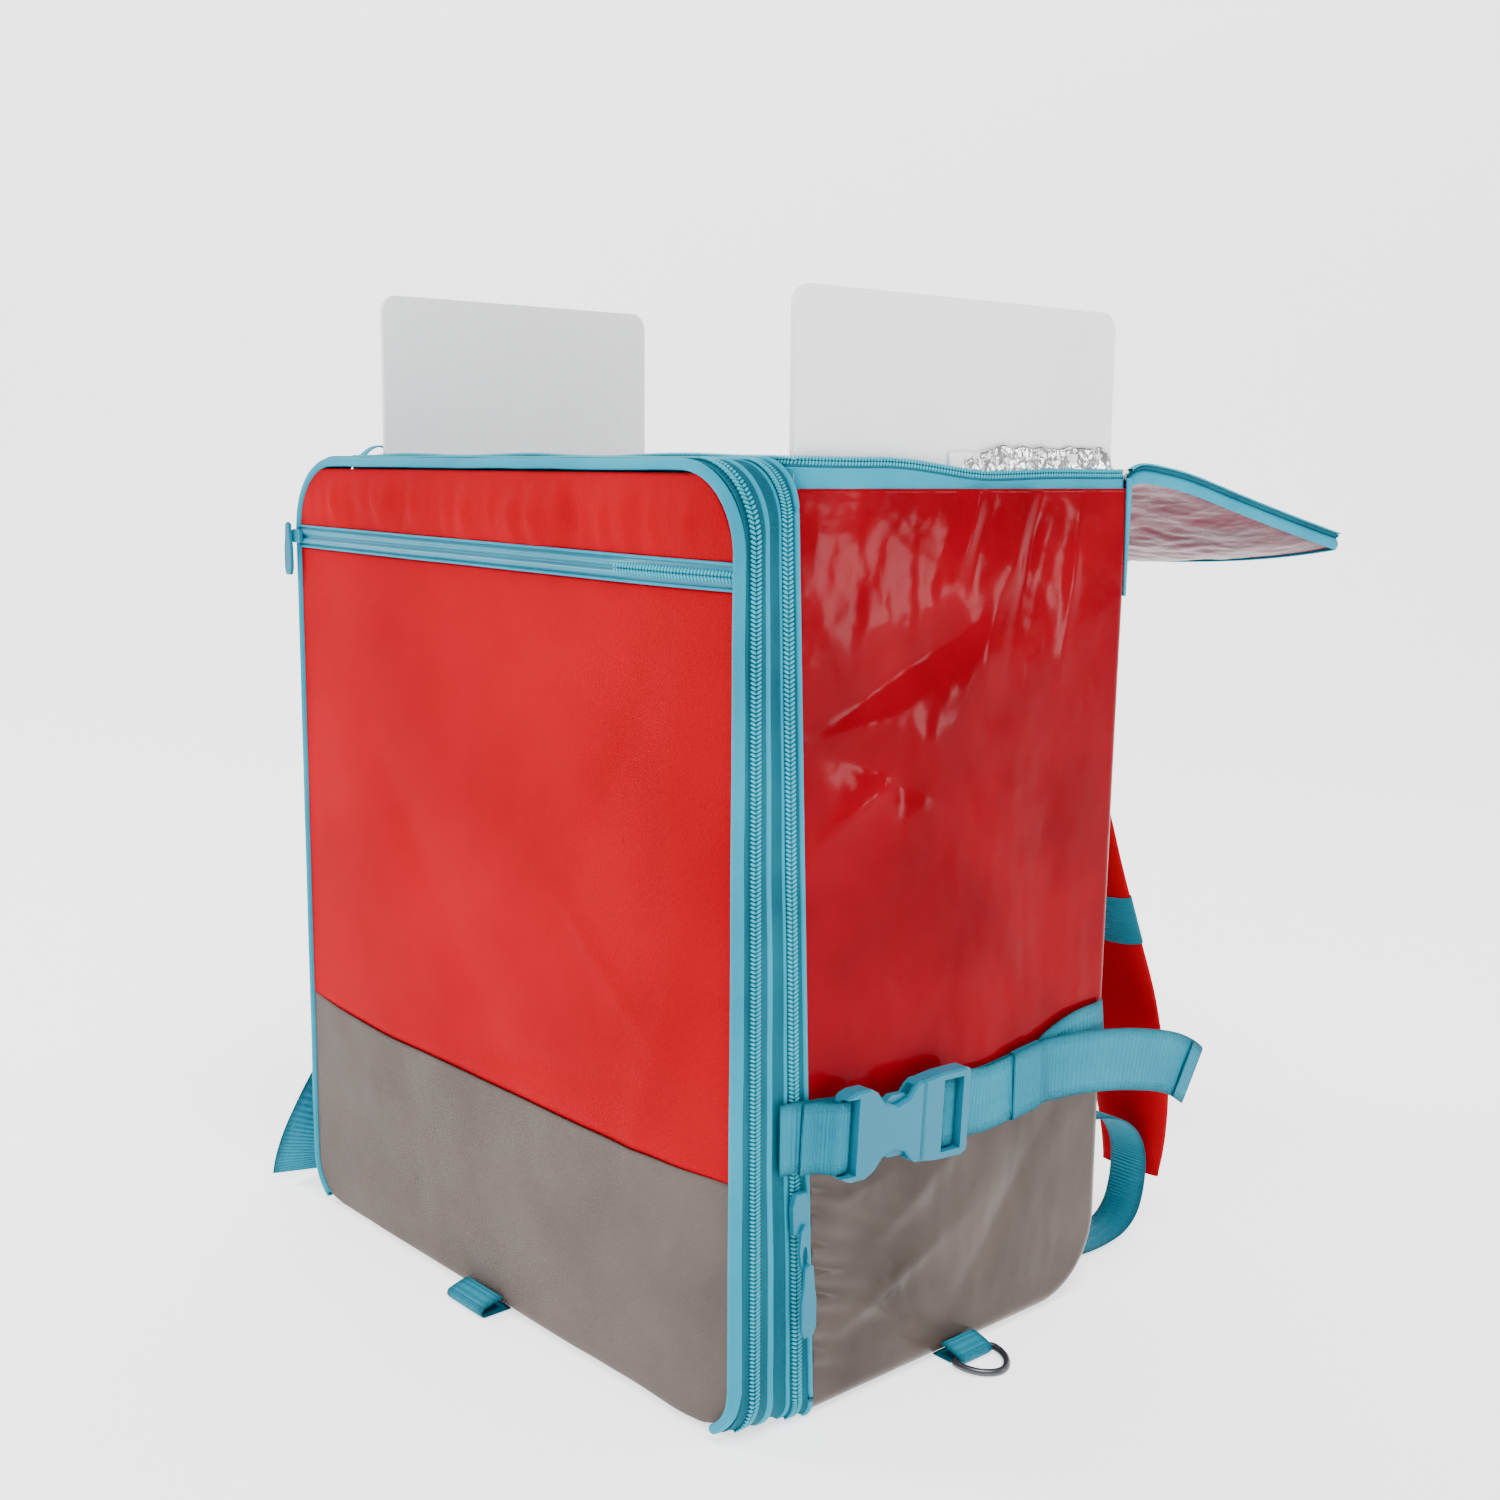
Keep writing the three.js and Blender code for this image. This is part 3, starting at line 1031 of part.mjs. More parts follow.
// A section of the strap at t along it, its edges moved out by swell
function padLoop(side, t, swell = 0) {
  const p = shoulderCurve.getPoint(t);
  const run = shoulderCurve.getTangent(t);
  const thick = vec(0, -run.z, run.y).normalize();
  return PAD_SECTION.map(([a, b]) => {
    const point = p.clone().add(vec(a * (SHOULDER_WIDTH / 2 + swell), 0, 0));
    point.addScaledVector(thick, b * (SHOULDER_THICK / 2 + swell));
    return point.setX(side * point.x);
  });
}

// Rows: the lower webbing from its anchor on the back foot, over the floor and up inside the strap
const LOWER_ROWS = [
  [0.4765, 0.06], [0.497, 0.028], [0.533, 0.012], [0.583, 0.0065], [0.65, 0.0065], [0.713, 0.013],
  [0.755, 0.031], [0.775, 0.06], [0.78, 0.096], [0.768, 0.124], [0.738, 0.149], [0.69, 0.168],
  [0.627, 0.18], [0.573, 0.184],
];
function shoulderStraps() {
  for (const [word, side] of [["right", 1], ["left", -1]]) {
    piece(`shoulder_strap_${word}`, loft(steps(13).map((t) => padLoop(side, t))), "red");
    const inner = SHOULDER_TAB.map((t) => padLoop(side, t, GAP));
    const outer = SHOULDER_TAB.map((t) => padLoop(side, t, GAP + WEBBING_THICK));
    const ring = inner[0].map((_, i) => [inner[0][i], inner[1][i], outer[1][i], outer[0][i]]);
    piece(`shoulder_tab_${word}`, loft(ring, true), "cyan");
    const points = LOWER_ROWS.map(([back, up]) => [back * DEPTH, up * HEIGHT]);
    const stops = planeStops(points, (y, z) => vec(side * LOWER_PLACE, y, z), vec(1, 0, 0));
    piece(`lower_webbing_${word}`, ribbon(stops, LOWER_WEBBING), "cyan");
  }
}

gusset();
frontBinding();
frontPanels();
pocketZip();
sidePanels();
baseAndBack();
liner();
boards();
rim();
cornerTabs();
lid();
compressionStraps();
footLoops();
sliders();
shoulderStraps();

export default bag;
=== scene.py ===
"""Looks of the insulated delivery backpack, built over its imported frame.

Lengths inside this file are millimetres, +Z up, front pocket towards -Y; meshes are made in metres.
"""

import logging
import math
from collections.abc import Callable, Sequence
from dataclasses import dataclass
from enum import Enum

import bmesh
import bpy
from mathutils import Matrix, Vector, noise


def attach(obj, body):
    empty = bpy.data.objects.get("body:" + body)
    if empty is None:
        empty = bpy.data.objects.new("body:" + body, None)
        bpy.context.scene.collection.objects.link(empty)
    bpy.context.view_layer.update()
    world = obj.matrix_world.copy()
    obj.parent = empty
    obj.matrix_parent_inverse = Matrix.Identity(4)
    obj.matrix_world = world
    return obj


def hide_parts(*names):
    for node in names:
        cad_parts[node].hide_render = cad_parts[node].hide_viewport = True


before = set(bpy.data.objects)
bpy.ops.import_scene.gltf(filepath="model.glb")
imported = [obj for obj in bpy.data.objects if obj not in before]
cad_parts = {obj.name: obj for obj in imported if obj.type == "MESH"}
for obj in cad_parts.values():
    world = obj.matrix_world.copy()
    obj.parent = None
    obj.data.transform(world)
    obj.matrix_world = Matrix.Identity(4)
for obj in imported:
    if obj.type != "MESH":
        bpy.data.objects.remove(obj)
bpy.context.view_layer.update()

MM = 0.001
LOG = logging.getLogger("backpack")
Surface = Callable[[float, float], Vector]
Frame = tuple[Vector, Vector, Vector]
Height = Callable[[float], float]
Relief = Callable[[float, float], float]
Stop = tuple[Vector, Vector]
Tree = bpy.types.NodeTree
Node = bpy.types.Node
Socket = bpy.types.NodeSocket
Piece = bpy.types.Object
UP = Vector((0, 0, 1))
COAT_ROUGHNESS = 0.12
PATCH_EDGES = (0.32, 0.68)
WAVE_SCALE = 0.314
CREASE_SMOOTHNESS = 0.35


def lerp(a: float, b: float, t: float) -> float:
    """Straight blend from a to b."""
    return a + (b - a) * t


def clamp(t: float, low: float = 0.0, high: float = 1.0) -> float:
    """Keeps t between low and high."""
    return min(max(t, low), high)


def ease(t: float, low: float, high: float) -> float:
    """Smooth step of t from low to high."""
    s = clamp((t - low) / (high - low))
    return s * s * (3 - 2 * s)


def hump(t: float) -> float:
    """Squared sine over 0 to 1, zero outside."""
    return math.sin(math.pi * clamp(t)) ** 2


def ripple(x: float, y: float, z: float, scale: float, seed: float = 0.0) -> float:
    """Smooth noise between about -1 and 1.

    Args:
        x: place, in mm.
        y: place, in mm.
        z: place, in mm.
        scale: size of one wave, in mm.
        seed: shift that picks another pattern.

    Returns:
        The noise there.
    """
    return noise.noise(Vector((x / scale + seed, y / scale - seed * 1.7, z / scale + seed * 0.6)))


class Weave(Enum):
    """Surface structures that a finish can have."""

    PLAIN = "plain"
    TWILL = "twill"
    WEBBING = "webbing"
    TAPE = "tape"
    FILM = "film"
    FOIL = "foil"
    FLUTED = "fluted"
    MOULDED = "moulded"


@dataclass(frozen=True)
class Finish:
    """One material: its colours, gloss and surface structure."""

    name: str
    light: tuple[float, float, float]
    dark: tuple[float, float, float]
    weave: Weave
    roughness: float = 0.6
    metallic: float = 0.0
    coat: float = 0.0
    patch: float = 60.0
    bump: float = 0.2
    crinkle: float = 0.0
    pitch: float = 1.0
    specular: float = 0.5
    creases: tuple[float, float] = (9.0, 26.0)

    def material(self) -> bpy.types.Material:
        """Builds the node material once and returns it afterwards.

        Returns:
            The Blender material.
        """
        known = bpy.data.materials.get(self.name)
        if known:
            return known
        made = bpy.data.materials.new(self.name)
        made.use_nodes = True
        tree = made.node_tree
        shader = tree.nodes["Principled BSDF"]
        shader.inputs["Metallic"].default_value = self.metallic
        shader.inputs["Coat Weight"].default_value = self.coat
        shader.inputs["Specular IOR Level"].default_value = self.specular
        shader.inputs["Coat Roughness"].default_value = COAT_ROUGHNESS
        place = tree.nodes.new("ShaderNodeTexCoord")
        tint = self.patches(tree, place)
        tree.links.new(tint, shader.inputs["Base Color"])
        tree.links.new(self.gloss(tree, place), shader.inputs["Roughness"])
        normal = self.relief(tree, place)
        if normal:
            tree.links.new(normal, shader.inputs["Normal"])
        return made

    def noise(self, tree: Tree, place: Node, size: float, detail: float) -> Node:
        """Noise texture on object coordinates.

        Args:
            tree: the material's node tree.
            place: its texture coordinate node.
            size: size of one patch, in mm.
            detail: octaves.

        Returns:
            The noise node.
        """
        node = tree.nodes.new("ShaderNodeTexNoise")
        node.inputs["Scale"].default_value = 1 / (size * MM)
        node.inputs["Detail"].default_value = detail
        tree.links.new(place.outputs["Object"], node.inputs["Vector"])
        return node

    def patches(self, tree: Tree, place: Node) -> Socket:
        """Colour between the two tones, in soft patches.

        Args:
            tree: the material's node tree.
            place: its texture coordinate node.

        Returns:
            The colour socket.
        """
        cloud = self.noise(tree, place, self.patch, 3)
        ramp = tree.nodes.new("ShaderNodeValToRGB")
        for stop, position, tone in zip(ramp.color_ramp.elements, PATCH_EDGES, (self.dark, self.light)):
            stop.position = position
            stop.color = (*tone, 1)
        tree.links.new(cloud.outputs["Fac"], ramp.inputs["Fac"])
        return ramp.outputs["Color"]

    def gloss(self, tree: Tree, place: Node) -> Socket:
        """Roughness that varies a little over the piece.

        Args:
            tree: the material's node tree.
            place: its texture coordinate node.

        Returns:
            The roughness socket.
        """
        cloud = self.noise(tree, place, self.patch * 0.4, 4)
        spread = tree.nodes.new("ShaderNodeMapRange")
        spread.inputs["To Min"].default_value = max(self.roughness * 0.8, 0.03)
        spread.inputs["To Max"].default_value = min(self.roughness * 1.2, 1)
        tree.links.new(cloud.outputs["Fac"], spread.inputs["Value"])
        return spread.outputs["Result"]

    def wave(self, tree: Tree, source: Socket, pitch: float, turn: float) -> Socket:
        """Parallel ridges across a coordinate.

        Args:
            tree: the material's node tree.
            source: the coordinates, in metres.
            pitch: distance between ridges, in mm.
            turn: direction of the ridges, in degrees.

        Returns:
            The height socket.
        """
        turned = tree.nodes.new("ShaderNodeMapping")
        turned.inputs["Rotation"].default_value = (0, 0, math.radians(turn))
        tree.links.new(source, turned.inputs["Vector"])
        node = tree.nodes.new("ShaderNodeTexWave")
        node.wave_type = "BANDS"
        node.bands_direction = "X"
        node.inputs["Scale"].default_value = WAVE_SCALE / (pitch * MM)
        node.inputs["Distortion"].default_value = 0.0
        tree.links.new(turned.outputs["Vector"], node.inputs["Vector"])
        return node.outputs["Fac"]

    def relief(self, tree: Tree, place: Node) -> Socket | None:
        """Bump of the weave and of small creases.

        Args:
            tree: the material's node tree.
            place: its texture coordinate node.

        Returns:
            The normal socket, or None for a bare surface.
        """
        flat = place.outputs["UV"]
        turns = {
            Weave.PLAIN: ((0, 1.0), (90, 1.0)),
            Weave.TWILL: ((45, 1.0), (0, 0.7)),
            Weave.WEBBING: ((90, 1.0), (0, 0.8)),
            Weave.TAPE: ((52, 1.0), (-52, 1.0)),
            Weave.FLUTED: ((0, 1.0),),
        }.get(self.weave, ())
        normal = None
        for turn, share in turns:
            ridges = self.wave(tree, flat, self.pitch * (1 if share == 1.0 else 0.62), turn)
            normal = self.bumped(tree, ridges, self.bump * share, normal)
        grain = self.noise(tree, place, 0.8 if self.weave is Weave.MOULDED else 2.2, 4)
        normal = self.bumped(tree, grain.outputs["Fac"], self.bump * 0.25, normal)
        if self.crinkle:
            for size in self.creases:
                crease = tree.nodes.new("ShaderNodeTexVoronoi")
                crease.feature = "SMOOTH_F1"
                crease.inputs["Scale"].default_value = 1 / (size * MM)
                crease.inputs["Smoothness"].default_value = CREASE_SMOOTHNESS
                tree.links.new(self.bent(tree, place, size), crease.inputs["Vector"])
                depth = self.crinkle * size / self.creases[1]
                normal = self.bumped(tree, crease.outputs["Distance"], depth, normal)
        return normal

    def bent(self, tree: Tree, place: Node, size: float) -> Socket:
        """Object coordinates pushed about by noise.

        Args:
            tree: the material's node tree.
            place: its texture coordinate node.
            size: size of one crease, in mm.

        Returns:
            The bent coordinates.
        """
        cloud = self.noise(tree, place, size * 2.2, 3)
        push = tree.nodes.new("ShaderNodeVectorMath")
        push.operation = "MULTIPLY_ADD"
        tree.links.new(cloud.outputs["Color"], push.inputs[0])
        push.inputs[1].default_value = (size * MM,) * 3
        tree.links.new(place.outputs["Object"], push.inputs[2])
        return push.outputs["Vector"]

    def bumped(self, tree: Tree, height: Socket, depth: float, under: Socket | None) -> Socket:
        """Adds one bump over another.

        Args:
            tree: the material's node tree.
            height: the height socket.
            depth: depth of the bump, in mm.
            under: the normal it is added to.

        Returns:
            The new normal socket.
        """
        node = tree.nodes.new("ShaderNodeBump")
        node.inputs["Strength"].default_value = 1.0
        node.inputs["Distance"].default_value = depth * MM
        tree.links.new(height, node.inputs["Height"])
        if under:
            tree.links.new(under, node.inputs["Normal"])
        return node.outputs["Normal"]


RED = Finish(
    "red_polyester", (0.40, 0.0, 0.008), (0.32, 0.0, 0.006), Weave.TWILL,
    roughness=0.42, bump=0.06, pitch=1.1, patch=120, specular=0.006,
)
# Red coated film of the sides: partly its own deeper red, partly painted shade, darkened for the sides that
# face away from the key light.
RED_FILM_AND_SIDE_SHADE = Finish(
    "red_coated_film_and_painted_shade", (0.225, 0.0, 0.006), (0.155, 0.0, 0.004), Weave.FILM,
    roughness=0.13, coat=0.015, bump=0.03, crinkle=0.35, specular=0.024,
)
GREY = Finish(
    "grey_polyester", (0.118, 0.096, 0.086), (0.094, 0.075, 0.067), Weave.TWILL,
    roughness=0.65, bump=0.12, pitch=1.2, specular=0.12,
)
# Grey coated film of the side feet: partly its own grey, partly painted shade, darkened for the sides that
# face away from the key light.
GREY_FILM_AND_SIDE_SHADE = Finish(
    "grey_coated_film_and_painted_shade", (0.085, 0.064, 0.054), (0.052, 0.039, 0.033), Weave.FILM,
    roughness=0.25, coat=0.02, bump=0.04, crinkle=0.3, specular=0.1,
)
BINDING = Finish(
    "cyan_binding", (0.008, 0.285, 0.41), (0.006, 0.225, 0.34), Weave.TWILL,
    roughness=0.5, bump=0.05, pitch=0.8, specular=0.06,
)
# Cyan zip tape: partly its own darker cyan, partly painted shade, darkened so the gusset's recess strips and
# zip tapes look shaded.
TAPE = Finish(
    "cyan_zip_tape_and_painted_shade", (0.008, 0.135, 0.19), (0.005, 0.085, 0.125), Weave.TAPE,
    roughness=0.75, bump=0.16, pitch=0.9, specular=0.08,
)
COIL = Finish(
    "cyan_zip_coil", (0.022, 0.38, 0.50), (0.014, 0.31, 0.42), Weave.MOULDED,
    roughness=0.4, bump=0.02, specular=0.2,
)
WEBBING = Finish(
    "cyan_webbing", (0.010, 0.225, 0.325), (0.006, 0.165, 0.25), Weave.WEBBING,
    bump=0.5, pitch=2.2, specular=0.12,
)
PLASTIC = Finish(
    "cyan_plastic", (0.006, 0.175, 0.265), (0.005, 0.15, 0.235), Weave.MOULDED,
    roughness=0.25, bump=0.015, specular=0.2,
)
BOARD = Finish(
    "fluted_board", (0.86, 0.87, 0.89), (0.83, 0.84, 0.86), Weave.FLUTED,
    roughness=0.45, bump=0.22, pitch=2.6, specular=0.3,
)
FOIL = Finish(
    "foil_lining", (0.7, 0.7, 0.72), (0.45, 0.45, 0.47), Weave.FOIL,
    roughness=0.2, metallic=0.95, bump=0.08, crinkle=1.3, creases=(3.5, 11.0),
)
LINING_FOIL = Finish(
    "compartment_foil", (0.82, 0.82, 0.84), (0.66, 0.66, 0.68), Weave.FOIL,
    roughness=0.36, metallic=0.3, bump=0.08, crinkle=1.3, creases=(3.5, 11.0),
)
STEEL = Finish(
    "grey_ring_metal", (0.10, 0.10, 0.115), (0.07, 0.07, 0.085), Weave.MOULDED,
    roughness=0.36, metallic=0.8, bump=0.01,
)
WELT = Finish(
    "cyan_zip_welt", (0.008, 0.20, 0.30), (0.006, 0.165, 0.25), Weave.PLAIN,
    roughness=0.35, bump=0.03, pitch=0.7, specular=0.25,
)
# Lid film: the red film darkened to a deep red-purple, painted shade of the lid's underside, which faces the
# floor.
LID_FILM_PAINTED_SHADE = Finish(
    "lid_film_painted_shade", (0.11, 0.001, 0.02), (0.05, 0.001, 0.01), Weave.FILM,
    roughness=0.2, bump=0.04, crinkle=0.9, specular=0.03,
)
PALE = Finish(
    "pale_floor", (0.93, 0.93, 0.93), (0.92, 0.92, 0.92), Weave.MOULDED,
    roughness=0.9, bump=0.0, patch=900,
)


def finish_object(bm: bmesh.types.BMesh, name: str, finish: Finish) -> Piece:
    """Turns a bmesh in mm into a smooth object in metres.

    Args:
        bm: the mesh; it is freed.
        name: name of the piece.
        finish: its material.

    Returns:
        The new object, in the scene.
    """
    bmesh.ops.scale(bm, vec=(MM, MM, MM), verts=bm.verts)
    mesh = bpy.data.meshes.new(name)
    bm.to_mesh(mesh)
    bm.free()
    mesh.shade_smooth()
    mesh.materials.append(finish.material())
    made = bpy.data.objects.new(name, mesh)
    bpy.context.scene.collection.objects.link(made)
    return made


def thicken(piece: Piece, wall: float) -> Piece:
    """Gives a sheet its thickness, away from its outside.

    Args:
        piece: the sheet.
        wall: thickness, in mm.

    Returns:
        The same object.
    """
    modifier = piece.modifiers.new("wall", "SOLIDIFY")
    modifier.thickness = wall * MM
    modifier.offset = -1
    return piece


def close_ends(piece: Piece) -> None:
    """Fills the open ends of a tube."""
    cap = bmesh.new()
    cap.from_mesh(piece.data)
    bmesh.ops.holes_fill(cap, edges=[edge for edge in cap.edges if edge.is_boundary])
    cap.to_mesh(piece.data)
    cap.free()


def face_out(piece: Piece, middle: Vector) -> None:
    """Turns the faces of a ring-shaped sheet away from a place inside it, in metres."""
    faces = piece.data.polygons
    if sum((face.center - middle).dot(face.normal) * face.area for face in faces) < 0:
        piece.data.flip_normals()


def recolour(node: str, finish: Finish) -> None:
    """Gives a solid that stays in view its finish."""
    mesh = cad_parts[node].data
    mesh.materials.clear()
    mesh.materials.append(finish.material())


def cloth(
    name: str,
    surface: Surface,
    counts: tuple[int, int],
    size: tuple[float, float],
    finish: Finish,
    outward: Vector | None = None,
    wall: float = 1.6,
    closed: bool = False,
) -> Piece:
    """A grid laid over a surface.

    Args:
        name: name of the piece.
        surface: point of the surface, in mm, for two shares from 0 to 1.
        counts: squares across and along.
        size: real size across and along, in mm, for the weave.
        finish: its material.
        outward: rough outward direction, or None for a tube.
        wall: thickness, in mm; 0 leaves the sheet as it is.
        closed: joins the two side edges into a tube.

    Returns:
        The new object.
    """
    bm = bmesh.new()
    bmesh.ops.create_grid(bm, x_segments=counts[0], y_segments=counts[1], size=0.5)
    layer = bm.loops.layers.uv.new("weave")
    for face in bm.faces:
        for loop in face.loops:
            place = loop.vert.co
            loop[layer].uv = ((place.x + 0.5) * size[0] * MM, (place.y + 0.5) * size[1] * MM)
    for vert in bm.verts:
        vert.co = surface(clamp(vert.co.x + 0.5), clamp(vert.co.y + 0.5))
    if closed:
        bmesh.ops.remove_doubles(bm, verts=bm.verts, dist=0.01)
        bmesh.ops.recalc_face_normals(bm, faces=bm.faces)
    bm.normal_update()
    if outward is not None:
        facing = sum((face.normal * face.calc_area() for face in bm.faces), Vector())
        if facing.dot(outward) < 0:
            bmesh.ops.reverse_faces(bm, faces=bm.faces)
    made = finish_object(bm, name, finish)
    return thicken(made, wall) if wall and not closed else made


def spline(points: Sequence[Vector], t: float) -> Vector:
    """Point on a smooth curve through the points.

    Args:
        points: points in mm.
        t: share along them.

    Returns:
        The point.
    """
    spans = len(points) - 1
    place = clamp(t) * spans
    i = min(int(place), spans - 1)
    s = place - i
    a = points[max(i - 1, 0)]
    b = points[i]
    c = points[i + 1]
    d = points[min(i + 2, spans)]
    square, cube = 2 * a - 5 * b + 4 * c - d, 3 * b - a - 3 * c + d
    return 0.5 * (2 * b + (c - a) * s + square * s**2 + cube * s**3)


def tangent(points: Sequence[Vector], t: float) -> Vector:
    """Direction of the smooth curve there."""
    return (spline(points, t + 0.002) - spline(points, t - 0.002)).normalized()


def path_length(points: Sequence[Vector]) -> float:
    """Length of the smooth curve, in mm."""
    stops = [spline(points, i / 200) for i in range(201)]
    return sum((b - a).length for a, b in zip(stops, stops[1:]))


def tube(
    name: str, points: Sequence[Vector], radius: float, finish: Finish, sides: int = 12, along: int = 160
) -> Piece:
    """A round cord or wire along a smooth curve.

    Args:
        name: name of the piece.
        points: the curve's points, in mm.
        radius: of the wire, in mm.
        finish: its material.
        sides: of its section.
        along: steps along it.

    Returns:
        The new object.
    """

    def surface(u: float, v: float) -> Vector:
        """Point of the tube's skin."""
        middle = spline(points, v)
        run = tangent(points, v)
        side = (run.orthogonal() if abs(run.z) > 0.999 else run.cross(UP)).normalized()
        other = run.cross(side)
        a = 2 * math.pi * u
        return middle + radius * (math.cos(a) * side + math.sin(a) * other)

    size = (2 * math.pi * radius, path_length(points))
    made = cloth(name, surface, (sides, along), size, finish, None, 0, True)
    close_ends(made)
    return made


def dress(piece: Piece, body: str = "bag", nodes: Sequence[str] = ()) -> Piece:
    """Seats a piece on its body, hides the frame nodes that it replaces and logs its size.

    Args:
        piece: the new piece.
        body: the body it rides on.
        nodes: the frame nodes that it replaces.

    Returns:
        The same object.
    """
    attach(piece, body)
    if nodes:
        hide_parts(*nodes)
    LOG.info("%s: %d faces", piece.name, len(piece.data.polygons))
    return piece


@dataclass(frozen=True)
class Fold:
    """A fold or dent: its middle, lengths, turn and height, in mm and degrees."""

    x: float
    z: float
    length: float
    breadth: float
    turn: float
    height: float

    def at(self, x: float, z: float) -> float:
        """Height of the fold at a place on its panel."""
        a = math.radians(self.turn)
        s = ((x - self.x) * math.cos(a) + (z - self.z) * math.sin(a)) / self.length
        t = (-(x - self.x) * math.sin(a) + (z - self.z) * math.cos(a)) / self.breadth
        return self.height * math.exp(-s * s - 1.2 * abs(t) ** 1.6)


def folded(folds: Sequence[Fold], x: float, z: float) -> float:
    """Sum of the folds at a place."""
    return sum(fold.at(x, z) for fold in folds)


@dataclass(frozen=True)
class Shape:
    """Sizes and outlines that all the pieces share."""

    half_width: float = 218.0
    front: float = -150.0
    depth: float = 300.0
    height: float = 500.0
    gap: float = 0.4
    floor_lift: float = 0.6
    roll: float = 10.0
    side_puff: float = 4.0
    front_puff: float = 6.0
    side_top: float = 487.0
    seam: float = 140.0
    side_seam: float = 152.0
    back_foot: float = 50.0
    front_top: float = 45.0
    rear_top: float = 22.0
    front_foot: float = 32.0
    lip: float = 3.0
    zip_height: float = 448.0
    zip_width: float = 14.0

    def back_y(self, z: float) -> float:
        """Back surface at a height."""
        return self.depth / 2 - 3 + 7 * (z / self.height) ** 2

    def gusset_depth(self, z: float) -> float:
        """Depth of the front gusset at a height."""
        return lerp(56, 36, z / self.height)

    def front_half(self, z: float) -> float:
        """Half width of the front panel at a height."""
        inset = self.lip + 1.3

        def chord(radius: float, offset: float) -> float:
            """Half width inside a rounded corner."""
            inner = radius - inset
            return self.half_width - radius + math.sqrt(max(inner**2 - offset**2, 0))

        if z > self.height - self.front_top:
            return chord(self.front_top, z - (self.height - self.front_top))
        return chord(self.front_foot, self.front_foot - z) if z < self.front_foot else self.half_width - inset

    def seam_height(self, x: float) -> float:
        """Seam between red and grey on the front."""
        return self.seam + 7 * min(x / self.half_width, 0) ** 4

    def pocket_zip(self, x: float) -> float:
        """Middle height of the pocket zip."""
        return self.zip_height - 3 * x / self.half_width

    def ring(self, share: float, t: float) -> Frame:
        """Place on the gusset's outline.

        Args:
            share: share of the gusset's depth.
            t: share of the way from the right foot over the top to the left foot.

        Returns:
            The point, its outward direction and its direction along.
        """
        mirror = 1 if t <= 0.5 else -1
        s = 2 * (t if t <= 0.5 else 1 - t)
        top = lerp(self.front_top, self.rear_top, share)
        foot = lerp(self.front_foot, self.roll, share)
        if s < 0.035:
            angle = math.radians(lerp(-60, 0, s / 0.035))
            x = self.half_width - foot + foot * math.cos(angle)
            z = foot + self.floor_lift + foot * math.sin(angle)
        elif s < 0.65:
            angle = 0.0
            x, z = self.half_width, lerp(foot + self.floor_lift, self.height - top, (s - 0.035) / 0.615)
        elif s < 0.73:
            angle = math.radians(lerp(0, 90, (s - 0.65) / 0.08))
            x, z = self.half_width - top + top * math.cos(angle), self.height - top + top * math.sin(angle)
        else:
            angle = math.pi / 2
            x, z = lerp(self.half_width - top, 0, (s - 0.73) / 0.27), self.height
        out = Vector((mirror * math.cos(angle), 0, math.sin(angle)))
        run = Vector((-math.sin(angle), 0, mirror * math.cos(angle)))
        y = self.front + share * self.gusset_depth(z)
        return Vector((mirror * x, y, z)), out, run

    def wrap_edge(self, y: float, z: float) -> float:
        """Depth of a side's place inside its back and foot outline."""
        back = self.back_y(z)
        height = z - self.floor_lift
        cy = self.back_y(self.back_foot) - self.back_foot
        if y > cy and height < self.back_foot:
            return self.back_foot - math.hypot(y - cy, height - self.back_foot)
        return min(back - y, height)

    def outline_back(self, z: float) -> float:
        """Back end of a side at a height."""
        drop = max(self.back_foot - (z - self.floor_lift), 0)
        if drop <= 0:
            return self.back_y(z)
        cy = self.back_y(self.back_foot) - self.back_foot
        return cy + math.sqrt(max(self.back_foot**2 - drop**2, 0))


BAG = Shape()


